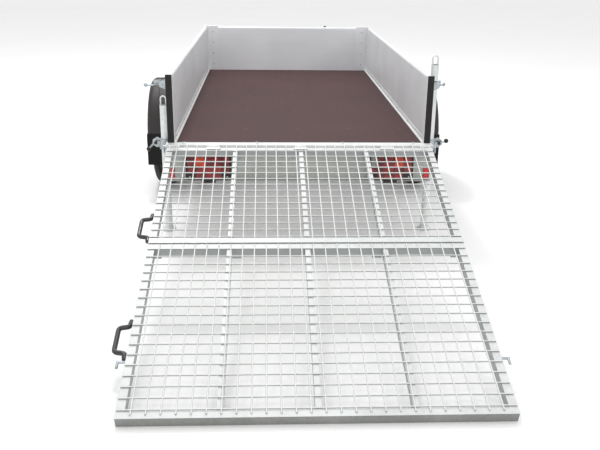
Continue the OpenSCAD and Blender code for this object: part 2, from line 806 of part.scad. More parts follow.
// A square-meshed grid of one section, from its first to its last cross wire.
module mesh_grid(top, length) {
  x = ramp_w / 2;
  count_x = floor((ramp_w - 80) / pitch);
  count_y = floor((length - 2 * first_wire + 10) / pitch);
  foot = top - first_wire - count_y * pitch;
  half = wire / 2;
  translate([0, 0, frame_z]) linear_extrude(wire) difference() {
    union() {
      translate([-x + wire_side - half, foot - half])
        square([count_x * pitch + wire, count_y * pitch + wire]);
      for (j = [0 : count_y]) translate([-x + 2, foot + j * pitch - half]) square([ramp_w - 4, wire]);
      for (i = [0 : count_x]) translate([-x + wire_side + i * pitch - half, foot - half - 18])
        square([wire, count_y * pitch + wire + 40]);
    }
    for (i = [0 : count_x - 1], j = [0 : count_y - 1])
      translate([-x + wire_side + i * pitch + half, foot + j * pitch + half]) square(pitch - wire);
  }
}

module upper_ramp_mesh() piece("#f0f0ee") on_ramp() difference() {
  mesh_grid(0, upper_l);
  block([-ramp_w, -upper_l - 50, -ramp_t], [ramp_w, -upper_l + fold_rail_w, ramp_t]);
}

module lower_ramp_mesh() piece("#f0f0ee") on_ramp() mesh_grid(lower_top, lower_l);

// A bent grab handle on the left side of a section.
module grab_handle(y0, y1) {
  turn_r = 1.6 * grip_r;
  straight = grip_out - turn_r;
  translate([-ramp_w / 2 - straight, 0, frame_z - frame_h / 2]) {
    for (y = [y0, y1]) along_x([0, y, 0], grip_r, straight);
    translate([-turn_r, y1 + turn_r, 0]) rotate([-90, 0, 0])
      cylinder(r = grip_r, h = y0 - y1 - 2 * turn_r);
    translate([0, y0 - turn_r, 0]) rotate([0, 0, 90]) rotate_extrude(angle = 90)
      translate([turn_r, 0]) circle(r = grip_r);
    translate([0, y1 + turn_r, 0]) rotate([0, 0, 180]) rotate_extrude(angle = 90)
      translate([turn_r, 0]) circle(r = grip_r);
  }
}

module upper_ramp_handle() piece("#2e2927") on_ramp() grab_handle(-560, -730);

module lower_ramp_handle() piece("#2e2927") on_ramp()
  grab_handle(lower_top - handle_v0, lower_top - handle_v1);

// Hooks on both sides that hold the folded lower section.
module ramp_hooks() piece("#c9d3dd") on_ramp() for (s = [-1, 1]) side(s) {
  x = ramp_w / 2;
  y = lower_top - handle_v1 - 24;
  z = frame_z - frame_h / 2;
  rod([x, y, z], [x + 32, y, z], 5);
  bend([x + 32, y, z], 5);
  rod([x + 32, y, z], [x + 32, y - 28, z], 5);
}

module fold_hinge_pins() piece("#c9d3dd") on_ramp() {
  half = (barrel_l + 1) / 2 + ear_t;
  for (x = fold_xs) along_x([x - half, fold_y, fold_z], fold_pin_r, 2 * half);
}

floor_panel();
left_side_rail();
right_side_rail();
cross_members();
rear_beam();
lamp_plate();
left_side_board();
right_side_board();
front_board();
left_front_corner();
right_front_corner();
left_rear_strip();
right_rear_strip();
floor_trims();
left_drawbar_arm();
right_drawbar_arm();
drawbar_nose();
coupling_head();
coupling_lever();
axle_beam();
left_axle_arm();
right_axle_arm();
left_mudguard();
right_mudguard();
mudguard_brackets();
left_tail_lamp();
right_tail_lamp();
lamp_lenses();
rear_reflectors();
left_leg_clamp();
right_leg_clamp();
left_leg();
right_leg();
left_ramp_latch();
right_ramp_latch();
left_tyre();
left_rim();
left_hub();
right_tyre();
right_rim();
right_hub();
jockey_clamp();
jockey_stem();
jockey_inner_tube();
jockey_fork();
jockey_wheel();
ramp_hinge_pins();
upper_ramp_frame();
upper_ramp_mesh();
upper_ramp_handle();
lower_ramp_frame();
lower_ramp_mesh();
lower_ramp_handle();
ramp_hooks();
fold_hinge_pins();
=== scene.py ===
"""Dresses a single-axle utility trailer with a fold-down mesh ramp, for Blender 4.5.

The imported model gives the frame: its nodes keep their shape and get their finishes here, and the
pieces that a workshop would add last (bolts, rivets, wires, tread, lenses) are built round them.
All sizes are in metres.
"""

import json
import logging
import math
from collections.abc import Iterable, Sequence
from dataclasses import dataclass
from enum import Enum
from typing import ClassVar

import bmesh
import bpy
from mathutils import Matrix, Vector


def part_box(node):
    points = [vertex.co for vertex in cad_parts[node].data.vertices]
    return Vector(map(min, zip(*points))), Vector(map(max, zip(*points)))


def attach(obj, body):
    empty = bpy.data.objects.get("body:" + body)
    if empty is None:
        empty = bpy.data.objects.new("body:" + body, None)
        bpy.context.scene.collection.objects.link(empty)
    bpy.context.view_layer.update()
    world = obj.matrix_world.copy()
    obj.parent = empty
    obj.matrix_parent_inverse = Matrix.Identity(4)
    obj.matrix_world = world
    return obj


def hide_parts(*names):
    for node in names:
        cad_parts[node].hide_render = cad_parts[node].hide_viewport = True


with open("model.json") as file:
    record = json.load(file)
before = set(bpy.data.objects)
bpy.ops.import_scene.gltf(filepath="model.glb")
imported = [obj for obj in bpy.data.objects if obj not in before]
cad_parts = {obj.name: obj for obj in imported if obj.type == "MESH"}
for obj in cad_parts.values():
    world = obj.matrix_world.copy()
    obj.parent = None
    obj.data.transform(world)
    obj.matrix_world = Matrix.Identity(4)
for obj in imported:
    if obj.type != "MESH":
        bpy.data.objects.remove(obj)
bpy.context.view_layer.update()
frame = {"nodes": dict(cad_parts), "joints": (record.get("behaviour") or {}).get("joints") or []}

LOG = logging.getLogger("trailer")
MM = 0.001
# Blender's wave texture repeats every 0.314 m at a scale of 1.
WAVE_PERIOD = 0.314


class Side(Enum):
    """The two sides of the trailer, seen from behind."""

    LEFT = -1
    RIGHT = 1

    @property
    def label(self) -> str:
        """The word that starts this side's names."""
        return self.name.lower()

    @property
    def out(self) -> Vector:
        """The direction away from the trailer on this side."""
        return self.value * Axis.X.value


class Axis(Enum):
    """The frame's directions."""

    X = Vector((1, 0, 0))
    Y = Vector((0, 1, 0))
    Z = Vector((0, 0, 1))


# ---------- Shader nodes ----------


def linear(colour: str) -> tuple[float, float, float, float]:
    """Turns an sRGB hex colour into linear light.

    Args:
        colour: The colour as "#rrggbb".

    Returns:
        Red, green, blue and full opacity.
    """
    parts = [int(colour[i : i + 2], 16) / 255 for i in (1, 3, 5)]
    light = [c / 12.92 if c <= 0.04045 else ((c + 0.055) / 1.055) ** 2.4 for c in parts]
    return (light[0], light[1], light[2], 1.0)


def add_node(
    tree: bpy.types.NodeTree, kind: str, settings: dict | None = None, links: dict | None = None
) -> bpy.types.Node:
    """Adds a node with its settings and links.

    Args:
        tree: The tree that takes the node.
        kind: The node's type, without the word ShaderNode.
        settings: Values by name, for the node's own properties or for its inputs; "stops" are the
            (place, hex colour) pairs of a colour ramp.
        links: Output sockets by the name or number of the input they go to.

    Returns:
        The new node.
    """
    node = tree.nodes.new("ShaderNode" + kind)
    for name, value in (settings or {}).items():
        if name == "stops":
            for stop, (position, colour) in zip(node.color_ramp.elements, value):
                stop.position = position
                stop.color = linear(colour)
        elif isinstance(name, str) and hasattr(node, name):
            setattr(node, name, value)
        else:
            node.inputs[name].default_value = value
    for name, socket in (links or {}).items():
        tree.links.new(socket, node.inputs[name])
    return node


# ---------- Finishes ----------


@dataclass(frozen=True)
class Finish:
    """A finish for one kind of real surface; the subclasses paint its pattern."""

    name: str
    slot: str
    colour: str
    roughness: float
    metallic: float = 0.0
    coat: float = 0.0

    def material(self) -> bpy.types.Material:
        """Builds the material once, and gives the same one after that.

        Returns:
            The finished material.
        """
        known = bpy.data.materials.get(self.name)
        if known:
            return known
        material = bpy.data.materials.new(self.name)
        material.use_nodes = True
        material.diffuse_color = linear(self.colour)
        tree = material.node_tree
        tree.nodes.clear()
        shader = add_node(tree, "BsdfPrincipled", {
            "Base Color": linear(self.colour), "Roughness": self.roughness,
            "Metallic": self.metallic, "Coat Weight": self.coat,
        })
        output = add_node(tree, "OutputMaterial")
        tree.links.new(shader.outputs["BSDF"], output.inputs["Surface"])
        place = add_node(tree, "TexCoord").outputs["Object"]
        self.paint(tree, shader, place)
        return material

    def paint(self, tree: bpy.types.NodeTree, shader: bpy.types.Node,
              place: bpy.types.NodeSocket) -> None:
        """Adds the pattern; a subclass says which.

        Args:
            tree: The material's tree.
            shader: The principled shader.
            place: Object coordinates, in metres.
        """

    def mottle(self, tree: bpy.types.NodeTree, shader: bpy.types.Node, place: bpy.types.NodeSocket,
               grain: float, dark: str, light: str, rough: tuple[float, float],
               bump: float) -> bpy.types.Node:
        """Varies colour, gloss and height with one noise.

        Args:
            tree: The material's tree.
            shader: The principled shader.
            place: Coordinates for the noise.
            grain: Size of the pattern's grain.
            dark: Darkest colour.
            light: Lightest colour.
            rough: Lowest and highest roughness.
            bump: Height of the relief.

        Returns:
            The noise node.
        """
        noise = add_node(tree, "TexNoise", {"Scale": 1 / grain, "Detail": 4.0, "Roughness": 0.6},
                         {"Vector": place})
        ramp = add_node(tree, "ValToRGB", {"stops": ((0.3, dark), (0.7, light))},
                        {"Fac": noise.outputs["Fac"]})
        tree.links.new(ramp.outputs["Color"], shader.inputs["Base Color"])
        gloss = add_node(tree, "MapRange", {"To Min": rough[0], "To Max": rough[1]},
                         {"Value": noise.outputs["Fac"]})
        tree.links.new(gloss.outputs["Result"], shader.inputs["Roughness"])
        relief = add_node(tree, "Bump", {"Strength": 0.6, "Distance": bump},
                          {"Height": noise.outputs["Fac"]})
        tree.links.new(relief.outputs["Normal"], shader.inputs["Normal"])
        return noise


@dataclass(frozen=True)
class Galvanised(Finish):
    """Hot-dip galvanised steel: zinc crystals, each a slightly different grey, and painted shade on
    upright and downward faces.
    """

    dark: str = "#9da1a1"
    spangle: float = 11 * MM
    # Painted shade: the colour, and how much of it, mixed into faces that stand upright or look down.
    painted_shade_colour: str = "#8d9090"
    painted_shade_strength: float = 0.0
    relief: float = 0.25 * MM

    def paint(self, tree: bpy.types.NodeTree, shader: bpy.types.Node,
              place: bpy.types.NodeSocket) -> None:
        """Adds crystals about a centimetre across over a broad cloudiness.

        Where a face is upright or looks down, its colour is mixed towards a darker grey: painted shade,
        set by the face's own direction.

        Args:
            tree: The material's tree.
            shader: The principled shader.
            place: Object coordinates.
        """
        cells = add_node(tree, "TexVoronoi", {"Scale": 1 / self.spangle, "Randomness": 1.0},
                         {"Vector": place})
        clouds = add_node(tree, "TexNoise", {"Scale": 1 / (140 * MM), "Detail": 3.0},
                          {"Vector": place})
        shade = add_node(tree, "Math", {"operation": "MULTIPLY_ADD", 1: 0.45},
                         {0: cells.outputs["Color"], 2: clouds.outputs["Fac"]})
        ramp = add_node(tree, "ValToRGB", {"stops": ((0.35, self.dark), (1.0, self.colour))},
                        {"Fac": shade.outputs["Value"]})
        # Painted shade: faces whose own normal points sideways or down are mixed towards the shade
        # colour.
        facing_up = add_node(tree, "SeparateXYZ", {},
                             {"Vector": add_node(tree, "TexCoord").outputs["Normal"]})
        painted_shade_mask = add_node(tree, "MapRange", {"From Min": 0.75, "From Max": 0.1, "To Max": self.painted_shade_strength},
                        {"Value": facing_up.outputs["Z"]})
        painted_shade_mix = add_node(tree, "Mix", {"data_type": "RGBA", 7: linear(self.painted_shade_colour)},
                        {0: painted_shade_mask.outputs["Result"], 6: ramp.outputs["Color"]})
        tree.links.new(painted_shade_mix.outputs[2], shader.inputs["Base Color"])
        gloss = add_node(tree, "MapRange",
                         {"To Min": self.roughness - 0.08, "To Max": self.roughness + 0.14},
                         {"Value": cells.outputs["Color"]})
        tree.links.new(gloss.outputs["Result"], shader.inputs["Roughness"])
        fine = add_node(tree, "TexNoise", {"Scale": 1 / (4 * MM), "Detail": 3.0}, {"Vector": place})
        soft = add_node(tree, "Bevel", {"samples": 3, "Radius": 1.2 * MM})
        relief = add_node(tree, "Bump", {"Strength": 0.35, "Distance": self.relief},
                          {"Height": fine.outputs["Fac"], "Normal": soft.outputs["Normal"]})
        tree.links.new(relief.outputs["Normal"], shader.inputs["Normal"])


@dataclass(frozen=True)
class Drawn(Finish):
    """Extruded or brushed metal: fine streaks along the length of the profile."""

    dark: str = "#8e9092"
    run: Axis = Axis.Y

    def paint(self, tree: bpy.types.NodeTree, shader: bpy.types.Node,
              place: bpy.types.NodeSocket) -> None:
        """Adds die lines two millimetres apart that run the length of the profile.

        Args:
            tree: The material's tree.
            shader: The principled shader.
            place: Object coordinates.
        """
        across, along = 1 / (2 * MM), 1 / (700 * MM)
        scale = [along if self.run.value[i] else across for i in range(3)]
        stretch = add_node(tree, "Mapping", {"Scale": scale}, {"Vector": place})
        streaks = add_node(tree, "TexNoise", {"Scale": 1.0, "Detail": 3.0},
                           {"Vector": stretch.outputs["Vector"]})
        clouds = add_node(tree, "TexNoise", {"Scale": 1 / (260 * MM), "Detail": 2.0},
                          {"Vector": place})
        shade = add_node(tree, "Mix", {"Factor": 0.45},
                         {2: clouds.outputs["Fac"], 3: streaks.outputs["Fac"]})
        ramp = add_node(tree, "ValToRGB", {"stops": ((0.32, self.dark), (0.68, self.colour))},
                        {"Fac": shade.outputs[0]})
        tree.links.new(ramp.outputs["Color"], shader.inputs["Base Color"])
        gloss = add_node(tree, "MapRange",
                         {"To Min": self.roughness - 0.08, "To Max": self.roughness + 0.1},
                         {"Value": streaks.outputs["Fac"]})
        tree.links.new(gloss.outputs["Result"], shader.inputs["Roughness"])
        soft = add_node(tree, "Bevel", {"samples": 3, "Radius": 1.0 * MM})
        relief = add_node(tree, "Bump", {"Strength": 0.3, "Distance": 0.12 * MM},
                          {"Height": streaks.outputs["Fac"], "Normal": soft.outputs["Normal"]})
        tree.links.new(relief.outputs["Normal"], shader.inputs["Normal"])


@dataclass(frozen=True)
class FilmFacedPlywood(Finish):
    """Birch plywood pressed with phenolic film: a brown skin with a woven wire imprint."""

    dark: str = "#3d2425"
    print_pitch: float = 9 * MM

    def paint(self, tree: bpy.types.NodeTree, shader: bpy.types.Node,
              place: bpy.types.NodeSocket) -> None:
        """Adds two crossing sets of pressed lines and the board's own long grain.

        The real imprint is about 4 mm; it is drawn coarser so that it shows.

        Args:
            tree: The material's tree.
            shader: The principled shader.
            place: Object coordinates.
        """
        waves = []
        for turn in (45, -45):
            spun = add_node(tree, "Mapping", {"Rotation": (0, 0, math.radians(turn))},
                            {"Vector": place})
            waves.append(add_node(tree, "TexWave", {"Scale": WAVE_PERIOD / self.print_pitch,
                                                    "Distortion": 0.0},
                                  {"Vector": spun.outputs["Vector"]}))
        weave = add_node(tree, "Math", {"operation": "MAXIMUM"},
                         {0: waves[0].outputs["Fac"], 1: waves[1].outputs["Fac"]})
        stretch = add_node(tree, "Mapping", {"Scale": (1 / (30 * MM), 1 / (420 * MM), 1.0)},
                           {"Vector": place})
        grain = add_node(tree, "TexNoise", {"Scale": 1.0, "Detail": 5.0, "Roughness": 0.6},
                         {"Vector": stretch.outputs["Vector"]})
        clouds = add_node(tree, "TexNoise", {"Scale": 1 / (520 * MM), "Detail": 3.0},
                          {"Vector": place})
        shade = add_node(tree, "Mix", {"Factor": 0.55},
                         {2: grain.outputs["Fac"], 3: clouds.outputs["Fac"]})
        inked = add_node(tree, "Math", {"operation": "MULTIPLY_ADD", 1: 0.12},
                         {0: weave.outputs["Value"], 2: shade.outputs[0]})
        ramp = add_node(tree, "ValToRGB", {"stops": ((0.4, self.dark), (0.78, self.colour))},
                        {"Fac": inked.outputs["Value"]})
        tree.links.new(ramp.outputs["Color"], shader.inputs["Base Color"])
        relief = add_node(tree, "Bump", {"Strength": 0.5, "Distance": 0.4 * MM},
                          {"Height": weave.outputs["Value"]})
        tree.links.new(relief.outputs["Normal"], shader.inputs["Normal"])


@dataclass(frozen=True)
class Moulded(Finish):
    """Moulded plastic or rubber with a fine grain from its mould."""

    dark: str = "#171515"
    grain: float = 2.2 * MM
    depth: float = 0.25 * MM

    def paint(self, tree: bpy.types.NodeTree, shader: bpy.types.Node,
              place: bpy.types.NodeSocket) -> None:
        """Adds the mould's grain, its gloss and its colour's small drift.

        Args:
            tree: The material's tree.
            shader: The principled shader.
            place: Object coordinates.
        """
        self.mottle(tree, shader, place, self.grain, self.dark, self.colour,
                    (self.roughness - 0.06, self.roughness + 0.12), self.depth)


@dataclass(frozen=True)
class ZincPlated(Finish):
    """Bright zinc plate with a faint blue and straw tint from its passivation."""

    tint: str = "#b9bfae"

    def paint(self, tree: bpy.types.NodeTree, shader: bpy.types.Node,
              place: bpy.types.NodeSocket) -> None:
        """Adds the tint in patches a few centimetres wide over a fine satin.

        Args:
            tree: The material's tree.
            shader: The principled shader.
            place: Object coordinates.
        """
        self.mottle(tree, shader, place, 22 * MM, self.tint, self.colour,
                    (self.roughness - 0.08, self.roughness + 0.12), 0.08 * MM)


@dataclass(frozen=True)
class WheelPaint(Finish):
    """Silver wheel paint: metal flakes under clear lacquer."""

    dark: str = "#a3a7a9"

    def paint(self, tree: bpy.types.NodeTree, shader: bpy.types.Node,
              place: bpy.types.NodeSocket) -> None:
        """Adds flakes, drawn a millimetre wide so that they show.

        Args:
            tree: The material's tree.
            shader: The principled shader.
            place: Object coordinates.
        """
        self.mottle(tree, shader, place, 1 * MM, self.dark, self.colour,
                    (self.roughness - 0.05, self.roughness + 0.1), 0.05 * MM)


@dataclass(frozen=True)
class LensPlastic(Finish):
    """Moulded acrylic lens: flutes on its back, with bright bars and patches painted into its colour as
    highlights.
    """

    dark: str = "#5a0308"
    flute: float = 7 * MM

    def paint(self, tree: bpy.types.NodeTree, shader: bpy.types.Node,
              place: bpy.types.NodeSocket) -> None:
        """Adds upright flutes, with painted highlights: bright bars along them and broad bright patches
        across them.

        Args:
            tree: The material's tree.
            shader: The principled shader.
            place: Object coordinates.
        """
        flutes = add_node(tree, "TexWave", {"bands_direction": "X", "Scale": WAVE_PERIOD / self.flute,
                                            "Distortion": 0.6}, {"Vector": place})
        painted_glow_pools = add_node(tree, "TexNoise", {"Scale": 1 / (32 * MM), "Detail": 1.0},
                         {"Vector": place})
        # Painted highlight: bright bars along the flutes and broad bright patches are mixed into the
        # base colour.
        painted_glow = add_node(tree, "Math", {"operation": "MULTIPLY_ADD", 1: 0.3},
                        {0: flutes.outputs["Fac"], 2: painted_glow_pools.outputs["Fac"]})
        ramp = add_node(tree, "ValToRGB", {"stops": ((0.42, self.dark), (0.82, self.colour))},
                        {"Fac": painted_glow.outputs["Value"]})
        tree.links.new(ramp.outputs["Color"], shader.inputs["Base Color"])
        relief = add_node(tree, "Bump", {"Strength": 0.5, "Distance": 0.8 * MM},
                          {"Height": flutes.outputs["Fac"]})
        tree.links.new(relief.outputs["Normal"], shader.inputs["Normal"])


@dataclass(frozen=True)
class PrismReflector(Finish):
    """Retro-reflector: small cube corners behind clear red plastic."""

    dark: str = "#a8000e"
    prism: float = 4 * MM

    def paint(self, tree: bpy.types.NodeTree, shader: bpy.types.Node,
              place: bpy.types.NodeSocket) -> None:
        """Adds the prisms as cells with bright middles.

        Args:
            tree: The material's tree.
            shader: The principled shader.
            place: Object coordinates.
        """
        cells = add_node(tree, "TexVoronoi", {"Scale": 1 / self.prism, "Randomness": 0.0},
                         {"Vector": place})
        ramp = add_node(tree, "ValToRGB", {"stops": ((0.0, self.colour), (1.0, self.dark))},
                        {"Fac": cells.outputs["Distance"]})
        tree.links.new(ramp.outputs["Color"], shader.inputs["Base Color"])
        relief = add_node(tree, "Bump", {"Strength": 0.4, "Distance": 0.6 * MM},
                          {"Height": cells.outputs["Distance"]})
        tree.links.new(relief.outputs["Normal"], shader.inputs["Normal"])


@dataclass(frozen=True)
class Sweep(Finish):
    """A studio's painted floor: near white, with the faintest unevenness."""

    def paint(self, tree: bpy.types.NodeTree, shader: bpy.types.Node,
              place: bpy.types.NodeSocket) -> None:
        """Adds broad, almost invisible roller marks.

        Args:
            tree: The material's tree.
            shader: The principled shader.
            place: Object coordinates.
        """
        self.mottle(tree, shader, place, 900 * MM, "#fdfdfd", self.colour, (0.85, 0.95), 0.02 * MM)


# Film-faced birch plywood, hot pressed: a dull brown skin with a woven imprint.
PLYWOOD = FilmFacedPlywood("film_faced_plywood", "plywood_floor", "#4a2b2c", 0.76)
# Hot-dip galvanised steel of the ramp: fresh, pale zinc that reads almost white under soft light, with
# painted shade on its upright and downward faces.
RAMP_ZINC = Galvanised("galvanised_ramp_steel", "ramp_steel", "#d8dada", 0.42, 0.1, dark="#c6c8c8",
                       spangle=16 * MM, painted_shade_colour="#868a8a", painted_shade_strength=0.7)
# Painted shade for the ramp's toe face, which looks down at the ground: a darker grey zinc.
TOE_SHADE_ZINC = Galvanised("painted_shade_toe_zinc", "ramp_steel", "#8b8c89", 0.6, 0.1, dark="#747673",
                          spangle=9 * MM)
# Hot-dip galvanised steel of the chassis: middling grey with visible crystals.
CHASSIS_ZINC = Galvanised("galvanised_chassis_steel", "galvanised_steel", "#c6c9c8", 0.42, 0.45)
# The same coating on the rear beam and the jockey wheel's stem, fresher and paler.
BEAM_ZINC = Galvanised("galvanised_beam_steel", "galvanised_steel", "#f1f2f1", 0.4, 0.25,
                       dark="#d9dcdc")
# Zinc on drawn tube: darker, smoother and shinier than on rolled plate.
LEG_ZINC = Galvanised("galvanised_leg_tube", "leg_steel", "#e2e5e3", 0.34, 0.35, dark="#c3c8c9",
                      spangle=7 * MM, relief=0.06 * MM)
# Anodised aluminium plank, extruded: an even satin grey with die lines along it.
ANODISED = Drawn("anodised_aluminium_plank", "anodised_aluminium", "#eceef0", 0.42, 0.2,
                 dark="#dadcde")
# The front wall's planks run across the trailer; their colour is set a shade darker than the side
# planks': painted shade on the front wall.
ANODISED_CROSS = Drawn("anodised_aluminium_cross_plank", "anodised_aluminium", "#e2e4e7", 0.42, 0.25,
                       dark="#d3d5d8", run=Axis.X)
# Mill-finish aluminium angle and posts: brighter and more streaked than the planks.
MILL_ALUMINIUM = Drawn("mill_finish_aluminium", "bare_aluminium", "#f2f3f3", 0.32, 0.3,
                       dark="#dfe1e1")
# Upright posts carry their die lines upright.
MILL_POST = Drawn("mill_finish_aluminium_post", "bare_aluminium", "#e9ebed", 0.34, 0.3,
                  dark="#d6d8da", run=Axis.Z)
# Moulded polyethylene of the mudguards: brown-black with a leathery grain.
POLYETHYLENE = Moulded("moulded_polyethylene", "mudguard_plastic", "#2a2524", 0.5, dark="#1e1a19",
                       grain=3 * MM)
# Extruded PVC strips: a duller black.
PVC = Moulded("extruded_pvc", "black_plastic", "#181313", 0.5, dark="#0e0b0b", grain=1.6 * MM)
# Moulded ABS of the lamp housings and knobs: black with a light sheen.
ABS = Moulded("moulded_abs", "black_plastic", "#1f1b1c", 0.34, dark="#151213", grain=1.2 * MM,
              depth=0.1 * MM)
# Handles of painted steel tube: semi-gloss dark brown-black.
HANDLE_PAINT = Moulded("painted_handle_tube", "black_plastic", "#2f2927", 0.38, coat=0.3,
                       dark="#241f1e", grain=5 * MM, depth=0.08 * MM)
# Vulcanised tyre rubber: matt charcoal that holds dust.
TYRE = Moulded("vulcanised_rubber", "tyre_rubber", "#2c2b2a", 0.72, dark="#1c1b1b", grain=6 * MM)
# Dead, even black sheet over the mudguards' rear feet: painted shade where the guards' rear is in
# shadow.
FLAP_SHADE_BLACK = Moulded("dead_black_painted_shade", "tyre_rubber", "#0d0b0b", 0.85, dark="#070606", grain=4 * MM)
# Solid rubber of the jockey wheel: a little greyer.
JOCKEY_RUBBER = Moulded("solid_rubber", "jockey_rubber", "#343433", 0.66, dark="#262626",
                        grain=5 * MM)
# Soft red vinyl of the coupling's grip.
VINYL = Moulded("dipped_red_vinyl", "red_grip", "#c42a2d", 0.4, coat=0.2, dark="#a81f24",
                grain=4 * MM, depth=0.12 * MM)
# Cast and painted steel of the coupling: dark grey, slightly orange-peeled.
CAST = Moulded("painted_cast_steel", "coupling_steel", "#5a5e60", 0.42, 0.2, dark="#484b4d",
               grain=4 * MM, depth=0.4 * MM)
# Bright zinc plate of pins, latches and bolts.
ZINC = ZincPlated("bright_zinc_plate", "zinc_plate", "#b9c0ca", 0.27, 0.9,
                  tint="#8e948e")
# Silver lacquer of the wheels.
WHEEL = WheelPaint("silver_wheel_lacquer", "wheel_steel", "#cdd0d2", 0.3, 0.7, coat=0.5)
# Acrylic lenses: wet-looking, fluted, with painted highlights in bright bars and patches.
RED_LENS = LensPlastic("red_acrylic_lens", "lamp_lens", "#960b12", 0.14, coat=0.35, dark="#2b0204")
AMBER_LENS = LensPlastic("amber_acrylic_lens", "lamp_lens", "#d6400f", 0.14, coat=0.35,
                         dark="#7c1d08")
CLEAR_LENS = LensPlastic("clear_acrylic_lens", "lamp_lens", "#9b9894", 0.14, coat=0.35,
                         dark="#4a4644")
# Reflex reflector of red acrylic.
REFLECTOR = PrismReflector("red_reflex_reflector", "reflector_red", "#e30019", 0.25, coat=0.25)
# Screws that are painted over by the film's colour.
PLYWOOD_SCREW = Moulded("painted_screw_heads", "plywood_floor", "#5a4344", 0.5, dark="#493536",
                        grain=3 * MM)
# Galvanised plate behind the lamps: flatter and greyer than the beam.
PLATE_ZINC = Galvanised("galvanised_lamp_plate", "galvanised_steel", "#bdbfba", 0.5, 0.2,
                        dark="#a9aba6", spangle=14 * MM)
# Welded wire, galvanised after welding: the palest zinc of all, with painted shade on the wires' sides
# and undersides.
WIRE_ZINC = Galvanised("galvanised_wire_mesh", "ramp_steel", "#e4e6e4", 0.45, 0.08, dark="#d4d6d4",
                       spangle=9 * MM, painted_shade_colour="#747876", painted_shade_strength=0.9)
# Machined hub steel, oiled.
HUB_STEEL = Drawn("machined_hub_steel", "galvanised_steel", "#8d9193", 0.35, 0.8, dark="#747879",
                  run=Axis.X)
# Emulsion of the studio floor.
FLOOR_PAINT = Sweep("studio_floor_paint", "", "#ffffff", 0.9)


def dress(finish: Finish, *nodes: str) -> None:
    """Gives CAD nodes a finish.

    Args:
        finish: The finish.
        nodes: Names of the CAD nodes that take it.
    """
    for name in nodes:
        mesh = frame["nodes"][name].data
        mesh.materials.clear()
        mesh.materials.append(finish.material())
        LOG.info("%s takes %s", name, finish.name)


class Assembly:
    """A sub-assembly that dresses its CAD nodes and builds its own pieces round them."""

    finishes: ClassVar[dict[Finish, tuple[str, ...]]] = {}

    def dress(self) -> None:
        """Gives this sub-assembly's CAD nodes their finishes."""
        for finish, nodes in self.finishes.items():
            dress(finish, *nodes)

    def build(self) -> None:
        """Builds the pieces; a subclass says which."""


# ---------- Mesh work ----------


